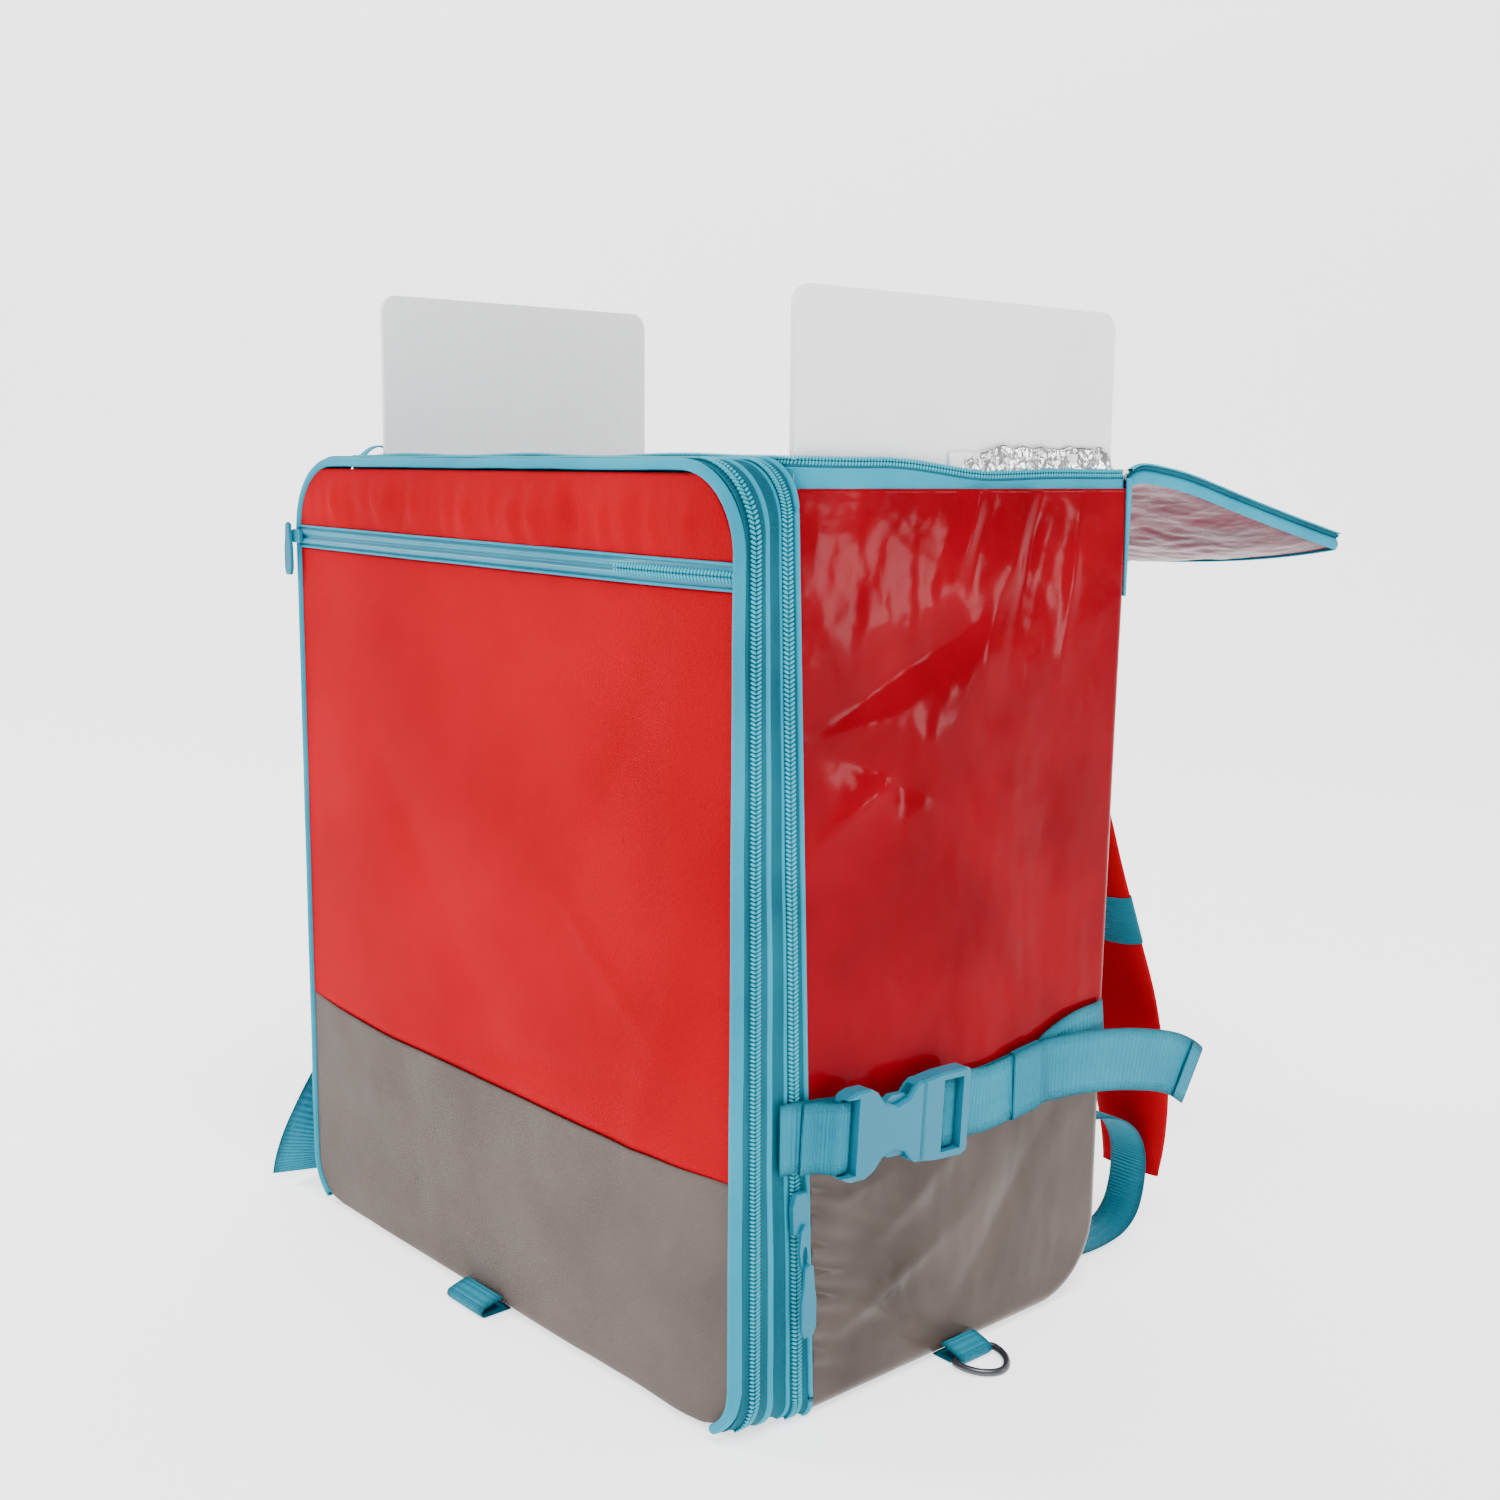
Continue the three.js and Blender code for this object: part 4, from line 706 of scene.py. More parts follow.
@dataclass
class FrontPocket:
    """Front of the bag: grey foot, red panel, red band, pocket zip."""

    depth: float = 1.2
    turned: float = 5.0
    folds: tuple[Fold, ...] = (
        Fold(135, 360, 100, 18, 62, -2.4),
        Fold(-76, 275, 110, 25, -50, -2.0),
        Fold(152, 180, 70, 15, 70, 2.0),
        Fold(22, 200, 125, 30, 35, -1.6),
        Fold(178, 45, 45, 13, 38, -5.0),
        Fold(196, 85, 35, 12, 75, 2.6),
        Fold(120, 230, 60, 9, -38, 1.4),
        Fold(-120, 330, 80, 14, 15, 1.0),
        Fold(60, 165, 70, 10, 8, -1.4),
    )

    def surface(self, low: Height, high: Height, extra: Relief | None = None) -> Surface:
        """Front surface between two height curves.

        Args:
            low: lower height for an x.
            high: upper height for an x.
            extra: more height for x and the share up.

        Returns:
            The surface.
        """

        def place(u: float, v: float) -> Vector:
            """Point of the front."""
            middle = lerp(low(0), high(0), v)
            across = u * 2 - 1
            x = across * BAG.front_half(middle)
            z = lerp(low(x), high(x), v)
            fade = 1 - across**6
            belly = BAG.front_puff * (1 - across**4) * math.sqrt(hump(z / BAG.height))
            out = belly + fade * self.depth * folded(self.folds, x, z)
            out += fade * (0.9 * ripple(x, 0, z, 90, 3.1) + 0.45 * ripple(x, 0, z, 34, 7.7))
            out -= self.turned * ease(x, 166, 214) * (1 - ease(z, 430, 470))
            if extra:
                out += fade * extra(x, v)
            turn = max(BAG.roll - z, 0)
            rolled = BAG.roll - math.sqrt(BAG.roll**2 - turn**2)
            return Vector((x, BAG.front + 0.6 - out + rolled, z))

        return place

    def build(self) -> None:
        """Makes and dresses the pieces of the front."""
        out = Vector((0, -1, 0))
        grey = self.surface(lambda x: BAG.floor_lift, lambda x: BAG.seam_height(x) - 0.1)
        dress(cloth("front_foot", grey, (150, 56), (424, 145), GREY, out), nodes=["front_panel_grey"])
        red = self.surface(
            lambda x: BAG.seam_height(x) + 0.1,
            lambda x: self.zip_foot(x) + 0.3,
            lambda x, v: 1.6 * ease(v, 0.0, 0.02) - 1.6 + self.gather(x, v),
        )
        dress(cloth("front_face", red, (160, 120), (424, 300), RED, out), nodes=["front_panel_red"])
        band = self.surface(lambda x: self.zip_top(x) - 0.3, lambda x: BAG.height - 5.9, self.pucker)
        dress(cloth("front_brow", band, (220, 26), (424, 42), RED, out), nodes=["front_top_band"])
        self.zip()

    def zip_foot(self, x: float) -> float:
        """Lower edge of the pocket zip's tape."""
        return BAG.pocket_zip(x) - BAG.zip_width / 2

    def zip_top(self, x: float) -> float:
        """Upper edge of the pocket zip's tape."""
        return BAG.pocket_zip(x) + BAG.zip_width / 2

    def gather(self, x: float, v: float) -> float:
        """Small gathers under the pocket zip's stitching."""
        return (0.5 * ripple(x, 0, 0, 13, 2.0) - 0.5) * ease(v, 0.965, 1.0)

    def pucker(self, x: float, v: float) -> float:
        """Upright puckers of the band over the zip."""
        wave = ripple(x, 0, v * 14, 24, 9.0) + 0.5 * ripple(x, 0, v * 8, 11, 4.0)
        return 6.4 * wave * hump(lerp(0.12, 0.98, v)) + 2.0 * hump(v)

    def zip(self) -> None:
        """Pocket zip: two welts over a row of teeth."""
        base = self.surface(self.zip_foot, self.zip_top)

        def welted(u: float, v: float) -> Vector:
            """Point of the zip's tape."""
            lift = 1.9 * (hump((v - 0.13) / 0.36) ** 0.6 + hump((v - 0.51) / 0.36) ** 0.6)
            part = 1 - 0.75 * ease(u, 0.76, 0.86)
            return base(u, v) + Vector((0, -lift * part, 0))

        dress(
            cloth("pocket_zip_tape", welted, (150, 44), (424, 14), WELT, Vector((0, -1, 0))),
            nodes=["pocket_zip"],
        )
        stops = [base(lerp(0.79, 0.998, i / 60), 0.5) + Vector((0, -1.3, 0)) for i in range(61)]
        forward, along = Vector((0, -1, 0)), Vector((1, 0, 0))
        teeth = ZipTeeth(2.3, 2.6).row("pocket_zip_teeth", lambda t: (spline(stops, t), forward, along), 88)
        dress(teeth)
        for name, height in (("pocket_edge_top", 0.955), ("pocket_edge_foot", 0.045)):
            line = [base(i / 40, height) + Vector((0, -0.5, 0)) for i in range(41)]
            dress(tube(name, line, 0.8, BINDING, 8, 160))


@dataclass
class ZipTeeth:
    """Rows of small coil turns, as chevrons along a path."""

    pitch: float = 2.1
    reach: float = 3.0
    radius: float = 0.8
    spread: float = 0.62
    slim: float = 0.72
    slant: float = 62.0

    def row(self, name: str, path: Callable[[float], Frame], length: float) -> Piece:
        """Two slanted rows of turns.

        Args:
            name: name of the piece.
            path: middle, outward and along directions for a share of the way.
            length: of the path, in mm.

        Returns:
            The new object.
        """
        bm = bmesh.new()
        for side in (-1, 1):
            place = Matrix.Translation(Vector((0, side * self.reach * self.spread, 0)))
            turned = Matrix.Rotation(side * math.radians(self.slant), 4, "Z")
            size = Matrix.Diagonal((self.reach * self.slim, self.radius, self.radius, 1))
            bmesh.ops.create_uvsphere(bm, u_segments=6, v_segments=4, radius=1, matrix=place @ turned @ size)
        span = self.pitch
        while span < length:
            copies = bmesh.ops.duplicate(bm, geom=bm.verts[:] + bm.edges[:] + bm.faces[:])["geom"]
            moved = [item for item in copies if isinstance(item, bmesh.types.BMVert)]
            bmesh.ops.translate(bm, vec=Vector((span, 0, 0)), verts=moved)
            span *= 2
        count = int(length / self.pitch)
        spare = [vert for vert in bm.verts if vert.co.x > (count - 0.5) * self.pitch]
        bmesh.ops.delete(bm, geom=spare, context="VERTS")
        for vert in bm.verts:
            middle, out, run = path(clamp((vert.co.x + self.pitch / 2) / length))
            vert.co = middle + out.cross(run).normalized() * vert.co.y + out * vert.co.z
        return finish_object(bm, name, COIL)


@dataclass
class Gusset:
    """Ring of zips and folds between the front pocket and the body."""

    profile: tuple[tuple[float, float], ...] = (
        (0.09, 0.5), (0.12, 0.9), (0.15, 0.1), (0.18, 0.5), (0.24, 1.5), (0.31, 0.6),
        (0.36, 0.2), (0.4, 0.9), (0.45, 1.5), (0.49, 1.3), (0.505, -0.4), (0.53, -1.0),
        (0.6, -1.2), (0.65, -0.6), (0.67, 0.9), (0.7, 0.6), (0.72, 0.3), (0.77, 1.2),
        (0.82, 1.2), (0.87, 0.3), (0.91, 0.5), (0.93, 1.2),
    )

    mean_depth: float = 46.0
    around: float = 1400.0
    teeth_run: float = 1370.0

    def lift(self, share: float) -> float:
        """Height of the gusset's relief at a share of its depth."""
        rows = self.profile
        for (a, low), (b, high) in zip(rows, rows[1:]):
            if share <= b:
                return lerp(low, high, ease(share, a, b))
        return rows[-1][1]

    def waver(self, share: float, t: float) -> float:
        """Slow wander of the strips along their way, as a share of the depth."""
        way = t * self.around
        s = 0.018 * ripple(way, share * 20, 0, 85, 5.0) + 0.012 * ripple(way, 0, 0, 33, 1.0)
        return s * hump(clamp((share - 0.12) / 0.86))

    def skin(self, start: float, end: float, raise_by: float = 0.0) -> Surface:
        """Surface of a strip of the gusset.

        Args:
            start: share of the depth where it starts.
            end: share where it ends.
            raise_by: more height, in mm.

        Returns:
            The surface, across then along.
        """

        def place(u: float, v: float) -> Vector:
            """Point of the strip."""
            share = lerp(start, end, u)
            point, out, _ = BAG.ring(share + self.waver(share, v), v)
            return point + out * (self.lift(share) + raise_by)

        return place

    def path(self, share: float, lift: float) -> Callable[[float], Frame]:
        """Path along the gusset for teeth or a cord.

        Args:
            share: share of the depth.
            lift: height over the outline, in mm.

        Returns:
            Middle, outward and along directions for a share of the way.
        """

        def place(t: float) -> Frame:
            """Place on the path."""
            point, out, run = BAG.ring(share + self.waver(share, t), t)
            return point + out * lift, out, run

        return place

    def build(self) -> None:
        """Makes and dresses the gusset's pieces."""
        # The tape strips take the darkened tape colour, which paints shade into the gusset's recesses.
        strips = (
            (0.095, 0.415, "front_zip_tape", TAPE, ["front_zip"]),
            (0.415, 0.5, "fold_front", BINDING, []),
            (0.5, 0.66, "gusset_recess", TAPE, ["gusset_strip"]),
            (0.66, 0.715, "fold_rear", BINDING, []),
            (0.715, 0.93, "rear_zip_tape", TAPE, ["rear_zip"]),
        )
        for start, end, name, finish, nodes in strips:
            wide = (end - start) * self.mean_depth
            counts = (max(int(wide / 0.9), 6), 420)
            dress(self.strip(name, self.skin(start, end), counts, wide, finish, 1.2), nodes=nodes)
        for name, share, lift in (("front_zip_teeth", 0.25, 1.4), ("rear_zip_teeth", 0.795, 1.1)):
            dress(ZipTeeth().row(name, self.path(share, lift), self.teeth_run))
        self.binding()
        self.piping()

    def strip(
        self, name: str, surface: Surface, counts: tuple[int, int], wide: float, finish: Finish, wall: float
    ) -> Piece:
        """One strip that goes the whole way round, facing away from the bag's middle."""
        made = cloth(name, surface, counts, (wide, self.around), finish, None, wall)
        face_out(made, Vector((0, BAG.front, BAG.height / 2)) * MM)
        return made

    def binding(self) -> None:
        """Smooth binding from the front panel round the gusset's front edge."""
        rows = (
            (-4.6, 0.9), (-3.6, -0.9), (-1.8, -1.4), (-0.3, -0.9),
            (0.9, 0.7), (1.2, 2.0), (1.0, 3.2), (0.5, None),
        )

        def place(u: float, v: float) -> Vector:
            """Point of the binding."""
            spot = u * (len(rows) - 1)
            i = min(int(spot), len(rows) - 2)
            point, out, _ = BAG.ring(0, v)
            end = 0.105 * BAG.gusset_depth(point.z)
            a, b = rows[i], rows[i + 1]
            lift = lerp(a[0], b[0], spot - i)
            back = lerp(end if a[1] is None else a[1], end if b[1] is None else b[1], spot - i)
            wander = 0.35 * ripple(v * self.around, u * 10, 0, 40, 8.0)
            return Vector((point.x, BAG.front + back, point.z)) + out * (lift + wander)

        made = self.strip("pocket_binding", place, (21, 420), 15, BINDING, 1.0)
        dress(made, nodes=["front_binding"])

    def piping(self) -> None:
        """Cord piping between the rear zip and the body."""
        stops = [self.path(0.962, 0.9)(i / 260)[0] for i in range(261)]
        dress(tube("rear_piping", stops, 1.55, BINDING, 12, 420), nodes=["body_piping"])


@dataclass
class Sides:
    """Right and left walls, glossy over a grey foot, wrapped round the back edge."""

    depth: float = 1.15
    flat_share: float = 0.86
    foot_share: float = 0.12
    foot_rise: float = 18.0
    gathers_top: float = 150.0
    folds: tuple[Fold, ...] = (
        Fold(108, 390, 62, 15, 24, -3.4),
        Fold(90, 345, 52, 13, -22, -2.6),
        Fold(186, 430, 75, 20, 62, 2.6),
        Fold(234, 300, 120, 26, 88, -2.2),
        Fold(135, 210, 85, 26, -35, -1.8),
        Fold(70, 318, 46, 9, 30, 2.2),
        Fold(64, 364, 40, 8, 12, 2.0),
        Fold(160, 466, 26, 9, 68, 3.0),
        Fold(212, 455, 40, 10, 74, -2.4),
        Fold(248, 440, 50, 9, 82, 2.0),
        Fold(110, 58, 44, 8, 22, 3.0),
        Fold(96, 88, 46, 9, -38, -2.6),
        Fold(92, 40, 34, 7, -14, -2.2),
        Fold(128, 104, 40, 10, 34, 2.0),
        Fold(200, 70, 60, 14, 50, -2.2),
        Fold(80, 118, 24, 6, 8, 1.8),
    )

    def x(self, y: float, z: float) -> float:
        """Outer x of a side at a place.

        Args:
            y: place along the depth.
            z: height.

        Returns:
            The distance from the middle plane.
        """
        depth = BAG.wrap_edge(y, z)
        front = BAG.front + BAG.gusset_depth(z)
        along = (y - front) / (BAG.back_y(z) - front)
        middle = along * 0.5 + 0.25 * (1 - math.cos(math.pi * along))
        fade = math.sqrt(hump(middle)) * math.sqrt(hump(z / BAG.side_top))
        d = clamp(depth, 0, BAG.roll)
        rolled = BAG.roll - math.sqrt(BAG.roll**2 - (BAG.roll - d) ** 2)
        edge = clamp(depth / (3 * BAG.roll))
        shape = BAG.side_puff * fade
        shape += self.depth * folded(self.folds, y - BAG.front, z) * hump(along) ** 0.25
        small = 0.8 * ripple(y, 0, z, 30, 4.0) + 0.4 * ripple(y, 0, z * 0.5, 11, 6.0)
        shape += small * hump(along) ** 0.3
        shape += self.gathers(y - front, z)
        return BAG.half_width - rolled + shape * edge

    def gathers(self, away: float, z: float) -> float:
        """Short level puckers beside the zip on the grey foot."""
        if z > self.gathers_top:
            return 0.5 * ripple(0, 0, z, 26, 5.0) * math.exp(-away / 14)
        bent = z + away * 0.4 + 9 * ripple(away, 0, z, 40, 2.0)
        wave = 1.9 * math.sin(2 * math.pi * bent / 15)
        return wave * math.exp(-away / 26) * hump(z / self.gathers_top) ** 0.4

    def surface(self, side: int, low: float, high: float) -> Surface:
        """Wall of one side between two heights.

        Args:
            side: 1 right, -1 left.
            low: lower height.
            high: upper height.

        Returns:
            The surface.
        """

        def place(u: float, v: float) -> Vector:
            """Point of the wall."""
            z = lerp(low, high, v)
            if low == BAG.floor_lift and v < self.foot_share:
                z = low + self.foot_rise * (1 - math.cos(math.pi / 2 * v / self.foot_share))
                z = lerp(z, lerp(low, high, v), v / self.foot_share)
            end = BAG.outline_back(z)
            front = BAG.front + BAG.gusset_depth(z) + 0.1
            flat = clamp(u / self.flat_share)
            turn = math.radians(clamp((u - self.flat_share) / (1 - self.flat_share)) * 90)
            y = lerp(front, end - BAG.roll, flat) + BAG.roll * math.sin(turn)
            return Vector((side * self.x(y, z), y, z))

        return place

    def build(self) -> None:
        """Makes and dresses both sides."""
        for word, side in (("right", 1), ("left", -1)):
            out = Vector((side, 0, 0))
            # Both side films carry painted shade: their colours are darkened for the sides turned away from
            # the key light.
            grey = self.surface(side, BAG.floor_lift, BAG.side_seam - 0.1)
            foot = cloth(f"side_foot_{word}", grey, (150, 80), (250, 150), GREY_FILM_AND_SIDE_SHADE, out)
            dress(foot, nodes=[f"side_panel_grey_{word}"])
            red = self.surface(side, BAG.side_seam + 0.1, BAG.side_top)
            wall = cloth(f"side_wall_{word}", red, (160, 150), (260, 335), RED_FILM_AND_SIDE_SHADE, out)
            dress(wall, nodes=[f"side_panel_red_{word}"])


@dataclass
class BaseAndBack:
    """Flat base, grey heel and red back."""

    def build(self) -> None:
        """Makes and dresses the base and the back."""
        half = BAG.half_width - BAG.roll + 0.2
        cy = BAG.back_y(BAG.back_foot) - BAG.back_foot

        def heel(u: float, v: float) -> Vector:
            """Point of the grey heel."""
            x = lerp(-half, half, u)
            if v < 0.5:
                a = math.radians(lerp(-90, 0, v / 0.5))
                radius = BAG.back_foot - BAG.floor_lift + 0.8 * ripple(x, 0, v * 90, 50, 2.0) * hump(v / 0.5)
                return Vector((x, cy + radius * math.cos(a), BAG.back_foot + radius * math.sin(a)))
            z = lerp(BAG.back_foot, BAG.side_seam - 0.1, (v - 0.5) / 0.5)
            wave = 1.2 * ripple(x, 0, z, 60, 2.0) * hump(u) ** 0.4 * hump(v / 1.02 - 0.02)
            return Vector((x, BAG.back_y(z) + wave, z))

        def back(u: float, v: float) -> Vector:
            """Point of the red back."""
            x = lerp(-half, half, u)
            z = lerp(BAG.side_seam + 0.1, BAG.side_top, v)
            wave = 1.6 * ripple(x, 0, z, 80, 3.0) + 0.8 * ripple(x, 0, z, 32, 6.0)
            return Vector((x, BAG.back_y(z) + wave * (hump(u) * hump(v)) ** 0.35, z))

        out = Vector((0, 1, 0))
        dress(cloth("heel", heel, (120, 60), (416, 190), GREY, out), nodes=["back_panel_grey"])
        dress(cloth("back_wall", back, (130, 110), (416, 335), RED, out), nodes=["back_panel_red"])
        recolour("base_panel", GREY)


@dataclass
class Lining:
    """Foil lining and the two stiffener boards."""

    tall: float = 420.0
    thick: float = 3.9
    away: float = 209.5
    corner: float = 11.0
    edge: float = 0.5

    def build(self) -> None:
        """Makes and dresses the lining and the boards."""
        recolour("liner", LINING_FOIL)
        self.flap()
        self.board("right", 1, -109.5, 138.5, 585.0)
        self.board("left", -1, -89.5, 128.5, 607.0)

    def flap(self) -> None:
        """Crinkled foil that stands up behind the right rim."""

        def place(u: float, v: float) -> Vector:
            """Point of the flap."""
            y = lerp(-14, 143, u)
            rise = 13 * ease(u, 0.0, 0.35) * (1 - ease(u, 0.9, 1.0))
            z = lerp(488, 496.5 + rise + 1.5 * ripple(y, 0, 0, 9, 2.0), v)
            x = 214.6 + 1.8 * ripple(y, 0, z, 9, 5.0) * v - 1.2 * v
            return Vector((x, y, z))

        dress(cloth("foil_flap", place, (120, 16), (158, 20), FOIL, Vector((1, 0, 0)), 0.5))

    def is_through(self, edge: bmesh.types.BMEdge) -> bool:
        """Tells an edge through the board's thickness from one in its face."""
        return abs(edge.verts[0].co.x - edge.verts[1].co.x) > self.thick / 2

    def board(self, word: str, side: int, low: float, high: float, top: float) -> None:
        """One stiffener board with rounded corners.

        Args:
            word: right or left.
            side: 1 right, -1 left.
            low: its front edge.
            high: its back edge.
            top: its top edge.
        """
        bm = bmesh.new()
        size = Matrix.Diagonal((self.thick, high - low, self.tall, 1))
        spot = Vector((side * self.away, (low + high) / 2, top - self.tall / 2))
        bmesh.ops.create_cube(bm, size=1, matrix=Matrix.Translation(spot) @ size)
        for through, offset, segments in ((True, self.corner, 10), (False, self.edge, 2)):
            edges = [edge for edge in bm.edges if self.is_through(edge) == through]
            bmesh.ops.bevel(
                bm, geom=edges, offset=offset, segments=segments, affect="EDGES", profile=0.5, material=-1
            )
        layer = bm.loops.layers.uv.new("weave")
        for face in bm.faces:
            for loop in face.loops:
                loop[layer].uv = (loop.vert.co.y * MM, loop.vert.co.z * MM)
        made = finish_object(bm, f"board_{word}", BOARD)
        made.data.shade_flat()
        dress(made, f"board_{word}", [f"stiffener_{word}"])


@dataclass
class Rim:
    """Band and half zip on the rim of the main opening."""

    corner: float = 10.0
    around: float = 900.0
    cloth_run: float = 940.0
    teeth_run: float = 930.0
    curl: tuple[tuple[float, float, float], ...] = (
        (-216, -110, 497), (-216.5, -103, 502), (-217, -94, 508),
        (-216, -86, 508.5), (-215.5, -80, 503), (-216, -74, 497),
    )

    def plan(self, t: float, inset: float) -> Vector:
        """Place on the rim's plan.

        Args:
            t: share of the way from the back right corner round the front to the back left.
            inset: distance inside the outer line, in mm.

        Returns:
            The point at height 0.
        """
        x = BAG.half_width - 0.6 - inset
        front = BAG.front + 36 + BAG.gap + inset
        back = BAG.back_y(BAG.side_top) - BAG.roll
        corner = self.corner
        mirror = 1 if t <= 0.5 else -1
        s = 2 * (t if t <= 0.5 else 1 - t)
        if s < 0.52:
            return Vector((mirror * x, lerp(back, front + corner, s / 0.52), 0))
        if s < 0.56:
            a = math.radians(lerp(0, -90, (s - 0.52) / 0.04))
            y = front + corner + corner * math.sin(a)
            return Vector((mirror * (x - corner + corner * math.cos(a)), y, 0))
        return Vector((mirror * lerp(x - corner, 0, (s - 0.56) / 0.44), front, 0))

    def top(self, y: float, t: float) -> float:
        """Height of the band's top edge."""
        base = lerp(498, 492, ease(y, BAG.front * 0.4, BAG.depth * 0.1))
        return base + 1.6 * ripple(t * self.around, 0, 0, 70, 2.0)

    def build(self) -> None:
        """Makes and dresses the rim."""

        def band(u: float, v: float) -> Vector:
            """Point of the band, from its foot up its outside."""
            point = self.plan(v, 0.4 * math.sin(u * 3) + 0.2 * u)
            wave = 0.5 * ripple(v * self.around, 0, u * 9, 30, 7.0)
            z = lerp(BAG.side_top - 0.6, self.top(point.y, v), u)
            return point + Vector((math.copysign(wave, point.x) if abs(point.x) > 200 else 0, 0, z))

        def tape(u: float, v: float) -> Vector:
            """Point of the half zip's tape."""
            point = self.plan(v, lerp(0.3, 3.4, u) - 0.8 * hump(u))
            return point + Vector((0, 0, self.top(point.y, v) + lerp(0, 4.6, u) + 0.8 * hump(u)))

        for name, surface, counts, wide, finish, wall, node in (
            ("rim_binding", band, (12, 460), 12, BINDING, 1.2, "rim_band"),
            ("rim_tape", tape, (8, 460), 6, TAPE, 0.9, "rim_zip"),
        ):
            made = cloth(name, surface, counts, (wide, self.cloth_run), finish, None, wall)
            face_out(made, Vector((0, 0, 0.4)))
            dress(made, nodes=[node])

        def edge(t: float) -> Frame:
            """Place on the zip's free edge."""
            point = self.plan(t, 0.9)
            run = (self.plan(clamp(t + 0.002), 0.9) - self.plan(clamp(t - 0.002), 0.9)).normalized()
            spot = point + Vector((0, 0, self.top(point.y, t) + 3.4))
            return spot, UP.cross(run), run

        dress(ZipTeeth(2.2, 2.0, 0.75).row("rim_teeth", edge, self.teeth_run))
        stops = [(Vector(point), Vector((1, 0, 0))) for point in self.curl]
        dress(Ribbon(7.0, 1.2).build("rim_curl", stops, 40, BINDING))
        self.tabs()

    def tabs(self) -> None:
        """Tapered zip ends down the two back corners."""
        for word, side in (("right", 1), ("left", -1)):

            def place(u: float, v: float) -> Vector:
                """Point of the tab."""
                z = lerp(BAG.side_top + 6, BAG.side_top - 62, v)
                spread = lerp(40, 8, v**1.3)
                a = math.radians(45 + (u * 2 - 1) * spread)
                radius = BAG.roll + 1.4 + 0.9 * hump(u)
                x = BAG.half_width - BAG.roll + radius * math.cos(a)
                return Vector((side * x, BAG.back_y(z) - BAG.roll + radius * math.sin(a), z))

            made = cloth(f"zip_end_{word}", place, (12, 40), (16, 68), BINDING, Vector((side, 1, 0)), 1.2)
            dress(made, nodes=[f"corner_tab_{word}"])


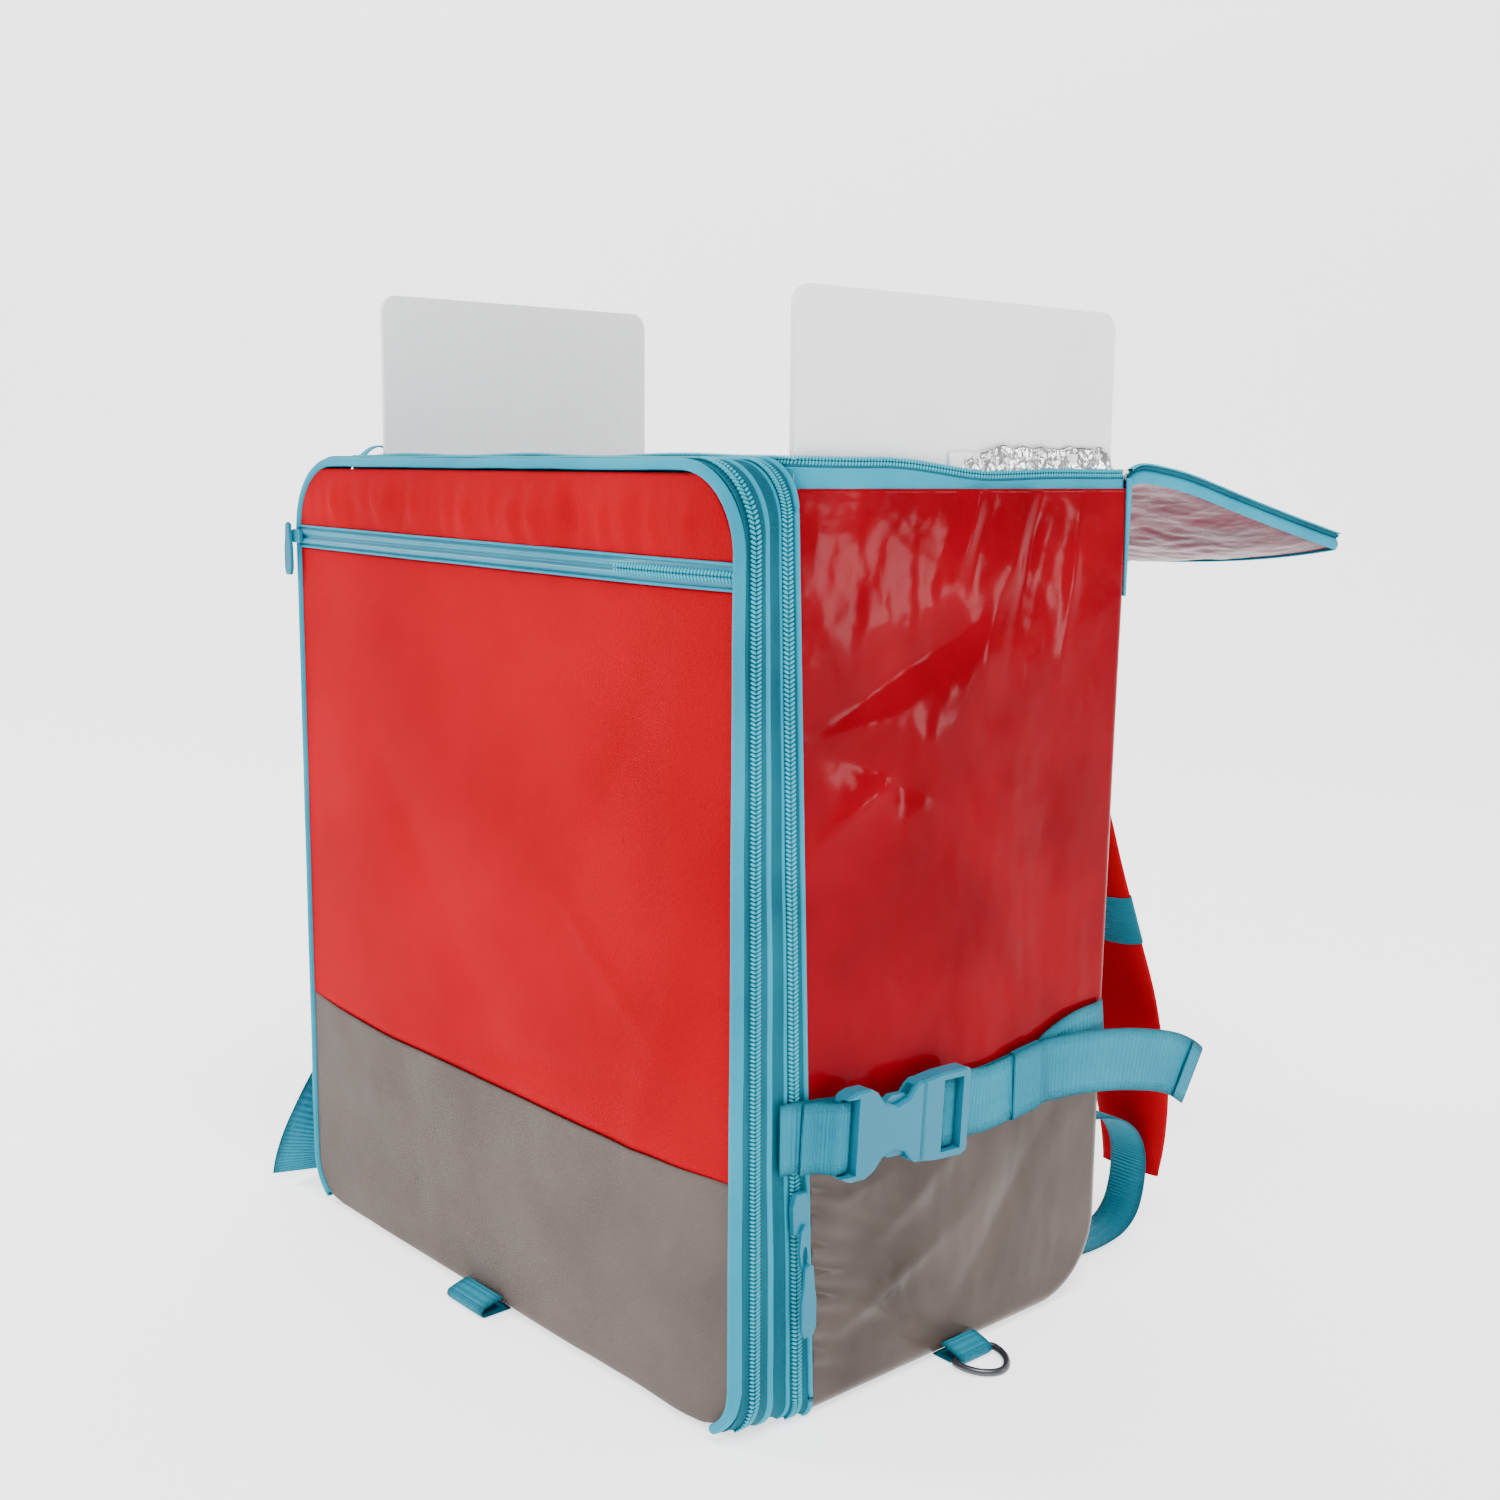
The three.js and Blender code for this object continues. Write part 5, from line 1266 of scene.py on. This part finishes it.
@dataclass
class Lid:
    """Padded lid thrown open over the back edge."""

    length: float = 226.0
    half: float = 214.0
    hinge: float = 492.0
    sag: float = 22.0
    padding: float = 6.6
    side: float = 0.258
    around_run: float = 880.0
    teeth_run: float = 870.0
    edge: tuple[tuple[float, float], ...] = (
        (-0.018, 0.019), (0.04, 0.002), (0.15, 0.012), (0.28, 0.034),
        (0.52, 0.09), (0.77, 0.146), (1.0, 0.195),
    )

    def middle(self, u: float, v: float) -> Vector:
        """Underside of the lid before its creases.

        Args:
            u: share across.
            v: share along, from the hinge.

        Returns:
            The point.
        """
        spot = spline([Vector((0, back, -drop)) for back, drop in self.edge], v)
        across = u * 2 - 1
        curl = 0.35 * ease(v, 0.85, 1)
        belly = math.sin(math.pi * min(v * 1.12, 1) * 0.5) ** 2 - curl
        drop = self.sag * belly * (1 - abs(across) ** 3)
        start = BAG.back_y(BAG.side_top) + BAG.gap
        height = self.hinge + spot.z * self.length - drop
        return Vector((across * self.half, start + spot.y * self.length, height))

    def creased(self, u: float, v: float, seed: float, depth: float) -> Vector:
        """The lid with its crumpled film.

        Args:
            u: share across.
            v: share along.
            seed: picks the pattern.
            depth: depth of the creases, in mm.

        Returns:
            The point.
        """
        point = self.middle(u, v)
        fade = (hump(u) * hump(lerp(0.04, 1, v))) ** 0.25
        ridge = abs(ripple(point.x, point.y, 0, 42, seed))
        ridge += 0.6 * abs(ripple(point.x, point.y, 0, 19, seed + 3))
        return point + Vector((0, 0, -depth * ridge * fade))

    def build(self) -> None:
        """Makes and dresses the lid."""
        counts, size = (170, 100), (2 * self.half, self.length)

        def film(u: float, v: float) -> Vector:
            """Point of the lid's outer film."""
            return self.creased(u, v, 4.0, 5.0)

        def foil(u: float, v: float) -> Vector:
            """Point of the lid's foil face."""
            return self.creased(u, v, 9.0, -1.2) + Vector((0, 0, self.padding))

        # The lid's skin takes the darkened lid film, painted shade of its underside.
        dress(cloth("lid_skin", film, counts, size, LID_FILM_PAINTED_SHADE, -UP, 0.8), nodes=["lid_panel"])
        padding = cloth("lid_foil", foil, counts, size, FOIL, UP, 5.2)
        dress(padding, nodes=["lid_lining"])
        self.edging()

    def around(self, t: float) -> tuple[Vector, Vector]:
        """Place on the lid's free edge.

        Args:
            t: share from the right hinge round to the left hinge.

        Returns:
            The point and its outward direction.
        """
        side = self.side
        if t < side:
            return self.middle(1, max(t / side, 0.03)), Vector((1, 0, 0))
        if t > 1 - side:
            return self.middle(0, max((1 - t) / side, 0.03)), Vector((-1, 0, 0))
        s = (t - side) / (1 - 2 * side)
        corner = Vector((1, 0, 0)) * (1 - ease(s, 0, 0.02)) - Vector((1, 0, 0)) * ease(s, 0.98, 1)
        return self.middle(1 - s, 1), (Vector((0, 1, 0)) + corner).normalized()

    def edging(self) -> None:
        """Band and half zip round the lid's free edge."""

        def band(u: float, v: float) -> Vector:
            """Point of the band's outside, from below up."""
            point, out = self.around(v)
            return point + out * (0.6 + 1.8 * hump(u) ** 0.5) + Vector((0, 0, lerp(-1.8, 6.2, u)))

        def tape(u: float, v: float) -> Vector:
            """Point of the half zip's tape."""
            point, out = self.around(v)
            return point + out * (0.6 + 2.2 * hump(u) ** 0.5) + Vector((0, 0, lerp(6.0, 9.4, u)))

        for name, surface, finish, node in (
            ("lid_binding", band, BINDING, "lid_band"), ("lid_tape", tape, TAPE, "lid_zip"),
        ):
            made = cloth(name, surface, (12, 420), (9, self.around_run), finish, None, 1.2)
            face_out(made, Vector((0, 0.27, 0.46)))
            dress(made, nodes=[node])

        def edge(t: float) -> Frame:
            """Place on the zip's free edge."""
            point, out = self.around(t)
            run = (self.around(clamp(t + 0.002))[0] - self.around(clamp(t - 0.002))[0]).normalized()
            return point + out * 1.6 + Vector((0, 0, 9.4)), UP, run

        dress(ZipTeeth(2.3, 1.4, 0.7).row("lid_teeth", edge, self.teeth_run))


@dataclass
class Ribbon:
    """Flat webbing along a path with a lean at each stop."""

    width: float = 38.0
    thick: float = 1.4

    def build(self, name: str, stops: Sequence[Stop], along: int, finish: Finish = WEBBING) -> Piece:
        """Lays the webbing.

        Args:
            name: name of the piece.
            stops: middle and width direction at each stop.
            along: squares along it.
            finish: its material.

        Returns:
            The new object.
        """
        middles = [middle for middle, _ in stops]
        widths = [width for _, width in stops]

        def place(u: float, v: float) -> Vector:
            """Point of the webbing's skin, once round its section."""
            run = tangent(middles, v)
            width = spline(widths, v)
            width = (width - run * run.dot(width)).normalized()
            out = run.cross(width)
            a = 2 * math.pi * u
            flat = math.copysign(abs(math.cos(a)) ** 0.22, math.cos(a)) * self.width / 2
            high = math.copysign(abs(math.sin(a)) ** 0.55, math.sin(a)) * self.thick / 2
            return spline(middles, v) + width * flat + out * high

        size = (2 * self.width, path_length(middles))
        made = cloth(name, place, (32, along), size, finish, None, 0, True)
        close_ends(made)
        return made


@dataclass
class CompressionStrap:
    """Webbing, buckle and tail on one side."""

    word: str
    side: int
    facing: int
    start: float
    rise: float
    lead: tuple[tuple[float, float, float], ...]
    tail: tuple[tuple[float, float, float, float], ...]
    plane: float = 222.4
    level: float = 156.0
    reach: float = 185.8
    tilt: float = -3.5
    slot: float = -40.5
    inner: float = 28.7
    outer: float = 39.2
    wrap: float = 19.9

    def place(self) -> Matrix:
        """The strap's own frame: along, up, out."""
        axes = Matrix(((0, 0, self.side), (self.facing, 0, 0), (0, 1, 0))).to_4x4()
        middle = self.start + self.facing * 77
        axes.translation = Vector((self.side * self.plane, middle, self.level))
        return axes

    def stop(self, run: float, up: float, out: float, lean: float) -> Stop:
        """Middle and width direction of the webbing at a row of along, up, out and lean."""
        spot = self.place()
        a = math.radians(lean)
        return spot @ Vector((run, up, out)), spot.to_3x3() @ Vector((-math.sin(a), math.cos(a), 0))

    def turned(self, rows: Sequence[tuple[float, float]]) -> list[tuple[float, float, float, float]]:
        """Rows of along and out, set on the buckle's own tilt."""
        fall = math.tan(math.radians(self.tilt))
        return [(run, run * fall, out, self.tilt) for run, out in rows]

    def build(self) -> None:
        """Makes and dresses the strap."""
        fall = math.tan(math.radians(self.tilt))
        slot, inner, outer = self.slot, self.inner, self.outer
        short = [(-77, -77 * fall, -2.2, 0), (-69, -77 * fall, -1.0, -1), (-59, -69 * fall, 0.7, -2)]
        short += self.turned((
            (slot - 1.2, 2.1), (slot, 3.7), (slot, 9.7), (slot - 1.2, 11.0), (-48.5, 11.0),
            (-52, 8.7), (-56, 3.8), (-61, 2.6), (-66, 2.4),
        ))
        lean = self.lead[0][2]
        long = [(self.reach, self.rise, -2.2, lean), (self.reach - 8, self.rise - 1, -0.6, lean)]
        long += [(self.reach * share, up, 0.7, lean) for share, up, lean in self.lead]
        long += [(inner + 12, (inner + 12) * fall, 0.7, 0)]
        long += self.turned((
            (inner + 1.4, 0.9), (inner, 2.5), (inner, 9.7), (inner + 1.4, 10.9),
            (outer - 1.4, 10.9), (outer, 9.7), (outer, 4.2), (outer + 1.6, 2.6),
        ))
        long += [(56, -4.4, 2.6, 0), *self.tail]
        for size, rows, along in (("short", short, 90), ("long", long, 340)):
            made = Ribbon().build(f"webbing_{size}_{self.word}", [self.stop(*row) for row in rows], along)
            dress(made, nodes=[f"strap_{size}_{self.word}"])
        for half in ("housing", "ladder"):
            recolour(f"buckle_{half}_{self.word}", PLASTIC)
        if self.word == "right":
            self.hem()
            self.keeper()

    def hem(self) -> None:
        """Folded hem sewn at the tail's end."""
        stops = [self.stop(run - 1.5, up, out + 1.7, lean) for run, up, out, lean in self.tail[-2:]]
        dress(Ribbon(37.4).build("tail_hem_right", stops, 12))

    def keeper(self) -> None:
        """Band of webbing round both plies."""
        spot = self.place()
        low, high = 0.9, 4.9

        def place(u: float, v: float) -> Vector:
            """Point of the keeper."""
            row_a, row_b = self.tail[1], self.tail[2]
            run, up = lerp(row_a[0], row_b[0], v), lerp(row_a[1], row_b[1], v)
            a = math.pi * (u * 1.12 - 0.06)
            flat = math.copysign(abs(math.cos(a)) ** 0.16, math.cos(a)) * self.wrap
            out = low + (high - low) * clamp(abs(math.sin(a)) ** 0.3 if math.sin(a) > 0 else 0)
            return spot @ Vector((run, up + flat, out))

        made = cloth("keeper_right", place, (40, 20), (44, 23), WEBBING, Vector((self.side, 0, 0)), 0.8)
        dress(made, nodes=["strap_keeper_right"])


@dataclass
class Hardware:
    """Foot loops, D-rings, zip sliders and pulls."""

    loop_bend: float = 2.7
    axis: float = 4.0

    def loop(self, name: str, node: str, spot: Matrix, width: float) -> None:
        """One loop of webbing at the foot.

        Args:
            name: name of the piece.
            node: the node it replaces.
            spot: its frame, out along X.
            width: of its webbing.
        """
        bend = []
        for angle in (80, 46, 12, -22, -56, -90):
            a = math.radians(angle)
            out = 16 - self.loop_bend + self.loop_bend * math.cos(a)
            bend.append((out, self.axis + self.loop_bend * math.sin(a)))
        rows = [(1.1, 9.4), (5.6, 9.1), *bend, (4.8, 1.3), (-4.6, 1.3)]
        stops = [(spot @ Vector((out, 0, z)), spot.to_3x3() @ Vector((0, 1, 0))) for out, z in rows]
        dress(Ribbon(width).build(name, stops, 60), nodes=[node])

    def ring(self, name: str, node: str, spot: Matrix) -> None:
        """One D-ring lying on the floor."""
        half, reach = 16.0, 21.4
        bow = [(0.0, 0.9), (0.14, 0.98), (0.42, 0.92), (0.7, 0.72), (0.92, 0.38), (1.0, 0.0)]
        outline = [(a * reach, b * half) for a, b in bow]
        outline += [(a * reach, -b * half) for a, b in reversed(bow[:-1])]
        outline += [(0, -half * 0.45), (0, 0), (0, half * 0.45), outline[0]]
        points = []
        for out, y in outline:
            points.append(spot @ Vector((13.3 + out, y, lerp(self.axis, 2.2, clamp(out / reach)))))
        dress(tube(name, points, 2.1, STEEL, 12, 140), nodes=[node])

    def build(self) -> None:
        """Makes and dresses the loops, rings and pulls."""

        def turned(angle: float, x: float, y: float) -> Matrix:
            """Frame at a place on the floor."""
            return Matrix.Translation(Vector((x, y, 0))) @ Matrix.Rotation(math.radians(angle), 4, "Z")

        self.loop("foot_loop_front", "loop_front", turned(-90, -7, BAG.front), 37.8)
        for word, angle, side in (("right", 0, 1), ("left", 180, -1)):
            spot = turned(angle, side * BAG.half_width, 18)
            self.loop(f"foot_loop_{word}", f"loop_{word}", spot, 27)
            self.ring(f"ring_{word}", f"d_ring_{word}", spot)
        for node in ("rear_slider", "rear_link", "rear_pull", "pocket_slider", "pocket_pull"):
            recolour(node, PLASTIC)


@dataclass
class ShoulderStraps:
    """Padded shoulder straps with tabs and lower webbing."""

    width: float = 64.0
    thick: float = 12.0
    inner: float = 110.0
    outer: float = 170.0
    rows: tuple[tuple[float, float, float], ...] = (
        (0.88, 0, 0), (0.8, 0.008, 0.1), (0.7, 0.05, 0.35), (0.6, 0.105, 0.6), (0.5, 0.133, 0.8),
        (0.42, 0.165, 0.92), (0.335, 0.21, 1), (0.26, 0.25, 1), (0.19, 0.285, 1), (0.12, 0.302, 1),
        (0.075, 0.3, 1),
    )
    lower: tuple[tuple[float, float], ...] = (
        (0.4765, 0.06), (0.497, 0.028), (0.533, 0.012), (0.583, 0.0065), (0.65, 0.0065), (0.713, 0.013),
        (0.755, 0.031), (0.775, 0.06), (0.78, 0.096), (0.768, 0.124), (0.738, 0.149), (0.69, 0.168),
        (0.627, 0.18), (0.573, 0.184),
    )

    def middle(self, side: int) -> list[Vector]:
        """Middle line of a strap."""
        points = []
        for up, bow, along in self.rows:
            z = up * BAG.height
            y = BAG.back_y(z) + self.thick / 2 + BAG.gap + bow * BAG.depth
            points.append(Vector((side * lerp(self.inner, self.outer, along), y, z)))
        return points

    def skin(self, side: int, low: float, high: float, swell: float) -> Surface:
        """Surface round a stretch of the pad.

        Args:
            side: 1 right, -1 left.
            low: share where it starts.
            high: share where it ends.
            swell: distance outside the pad, in mm.

        Returns:
            The surface.
        """
        points = self.middle(side)

        def place(u: float, v: float) -> Vector:
            """Point of the pad's skin."""
            t = lerp(low, high, v)
            run = tangent(points, t)
            thick = Vector((0, -run.z, run.y)).normalized()
            a = 2 * math.pi * u
            flat = math.copysign(abs(math.cos(a)) ** 0.5, math.cos(a))
            raised = math.copysign(abs(math.sin(a)) ** 0.8, math.sin(a)) * (1 - 0.25 * abs(flat) ** 6)
            end = min(1, 0.35 + 9 * (1 - t)) if high > 0.99 else 1
            narrow = 1 - 0.3 * ease(t, 0.72, 1.0)
            reach = (self.width / 2 * narrow + swell) * flat
            wave = 0.4 * ripple(t * 400, flat * 30, 0, 20, 3.0) if swell < 0.3 else 0
            rise = raised * (self.thick / 2 * end + swell) + wave * raised
            return spline(points, t) + Vector((reach, 0, 0)) + thick * rise

        return place

    def build(self) -> None:
        """Makes and dresses both shoulder straps."""
        for word, side in (("right", 1), ("left", -1)):
            skin = self.skin(side, 0, 1, 0)
            pad = cloth(f"shoulder_pad_{word}", skin, (56, 200), (152, 430), RED, None, 0, True)
            close_ends(pad)
            dress(pad, nodes=[f"shoulder_strap_{word}"])
            around = self.skin(side, 0.44, 0.515, 0.9)
            tab = cloth(f"strap_tab_{word}", around, (56, 24), (156, 34), WEBBING, None, 0, True)
            thicken(tab, 0.8)
            dress(tab, nodes=[f"shoulder_tab_{word}"])
            stops = [
                (Vector((side * 175, back * BAG.depth, up * BAG.height)), Vector((1, 0, 0)))
                for back, up in self.lower
            ]
            made = Ribbon(28).build(f"webbing_lower_{word}", stops, 160)
            dress(made, nodes=[f"lower_webbing_{word}"])


@dataclass
class Studio:
    """Pale floor, soft light and the camera."""

    azimuth: float = 48.43
    pitch: float = 8.87
    roll: float = 0.51
    lens: float = 43.34
    spot: tuple[float, float, float] = (860.5, -712.0, 496.7)
    sweep_start: float = 1400.0
    sweep_radius: float = 1600.0
    glow: float = 1.5
    world_glow: float = 0.5
    lights: tuple[tuple[str, tuple[float, float, float], float, float], ...] = (
        ("key", (-2.2, -1.9, 1.9), 0.7, 82),
        ("front", (0.2, -3.2, 1.1), 1.6, 6),
        ("side", (1.7, 2.0, 1.2), 0.6, 16),
        ("strip", (2.4, 2.2, 0.25), 0.35, 9),
        ("top", (1.1, -0.5, 2.5), 1.3, 84),
    )

    def camera(self) -> None:
        """Adds the camera at the photograph's place."""
        data = bpy.data.cameras.new("camera")
        data.lens = self.lens
        data.sensor_width = 36
        data.sensor_height = 36
        data.sensor_fit = "HORIZONTAL"
        data.clip_end = 50
        made = bpy.data.objects.new("camera", data)
        turn = Matrix.Rotation(math.radians(self.azimuth), 4, "Z")
        tip = Matrix.Rotation(math.radians(90 - self.pitch), 4, "X")
        lean = Matrix.Rotation(math.radians(self.roll), 4, "Z")
        made.matrix_world = Matrix.Translation(Vector(self.spot) * MM) @ turn @ tip @ lean
        bpy.context.scene.collection.objects.link(made)
        bpy.context.scene.camera = made

    def floor(self) -> None:
        """Adds the pale floor, swept up into a wall behind."""
        bm = bmesh.new()
        bmesh.ops.create_grid(bm, x_segments=2, y_segments=96, size=6000)
        away = Matrix.Rotation(math.radians(self.azimuth), 3, "Z")
        for vert in bm.verts:
            past = max(vert.co.y - self.sweep_start, 0)
            angle = min(past / self.sweep_radius, math.pi / 2)
            wall = max(past - self.sweep_radius * math.pi / 2, 0)
            run = min(vert.co.y, self.sweep_start) + self.sweep_radius * math.sin(angle)
            vert.co = away @ Vector((vert.co.x, run, self.sweep_radius * (1 - math.cos(angle)) + wall))
        made = finish_object(bm, "floor", PALE)
        shader = PALE.material().node_tree.nodes["Principled BSDF"]
        shader.inputs["Emission Color"].default_value = (1, 1, 1, 1)
        shader.inputs["Emission Strength"].default_value = self.glow

    def light(self, name: str, spot: tuple[float, float, float], size: float, power: float) -> None:
        """Adds a soft area light that looks at the bag.

        Args:
            name: its name.
            spot: its place, in metres.
            size: its side, in metres.
            power: in watts.
        """
        data = bpy.data.lights.new(name, "AREA")
        data.size = size
        data.energy = power
        made = bpy.data.objects.new(name, data)
        look = Vector((0, 0, 0.25)) - Vector(spot)
        turned = look.to_track_quat("-Z", "Y").to_matrix().to_4x4()
        made.matrix_world = Matrix.Translation(Vector(spot)) @ turned
        bpy.context.scene.collection.objects.link(made)

    def build(self) -> None:
        """Sets the scene."""
        self.camera()
        self.floor()
        for row in self.lights:
            self.light(*row)
        world = bpy.data.worlds.new("studio")
        bpy.context.scene.world = world
        world.use_nodes = True
        back = world.node_tree.nodes["Background"]
        back.inputs["Color"].default_value = (1, 1, 1, 1)
        back.inputs["Strength"].default_value = self.world_glow


RIGHT_LEAD = ((0.84, 9, 8), (0.74, 4, 5), (0.67, -1.8, 3), (0.52, -4.5, 3), (0.4, -6.4, 2), (0.28, -6, 0))
LEFT_LEAD = ((0.84, 3, -2), (0.7, 0, -2), (0.52, -2, -2), (0.4, -3.4, -3), (0.28, -3, -3))
RIGHT_TAIL = (
    (76, -6.4, 2.6, 3), (97, -4.5, 2.6, 3), (120, -2, 2.6, 3), (132, -1.4, 3.5, 1),
    (157, -2.5, 5.6, -2), (186, -6, 8.6, -7), (211, -11, 10.6, -13), (233, -17, 11.6, -20),
    (249, -24, 11.6, -28), (260, -31, 11.1, -32),
)
LEFT_TAIL = (
    (66, -6, 3.0, -4), (93, -10, 4.6, -14), (125, -22, 8.2, -28), (155, -45, 12.5, -42), (182, -80, 18.5, -56),
    (200, -115, 25, -66), (207, -136, 29, -72), (209, -150, 31.5, -76),
)


def main() -> None:
    """Builds the whole scene in order."""
    logging.basicConfig(level=logging.INFO, format="%(message)s")
    back = BAG.back_y(BAG.side_seam) - 7
    front = BAG.front + BAG.gusset_depth(156) * 0.56
    reach = back - front - 77
    for part in (
        Studio(),
        FrontPocket(),
        Gusset(),
        Sides(),
        BaseAndBack(),
        Lining(),
        Rim(),
        Lid(),
        CompressionStrap("right", 1, 1, front, 11, RIGHT_LEAD, RIGHT_TAIL, reach=reach),
        CompressionStrap("left", -1, -1, back, 4, LEFT_LEAD, LEFT_TAIL, reach=reach),
        Hardware(),
        ShoulderStraps(),
    ):
        part.build()


if __name__ == "__main__":
    main()
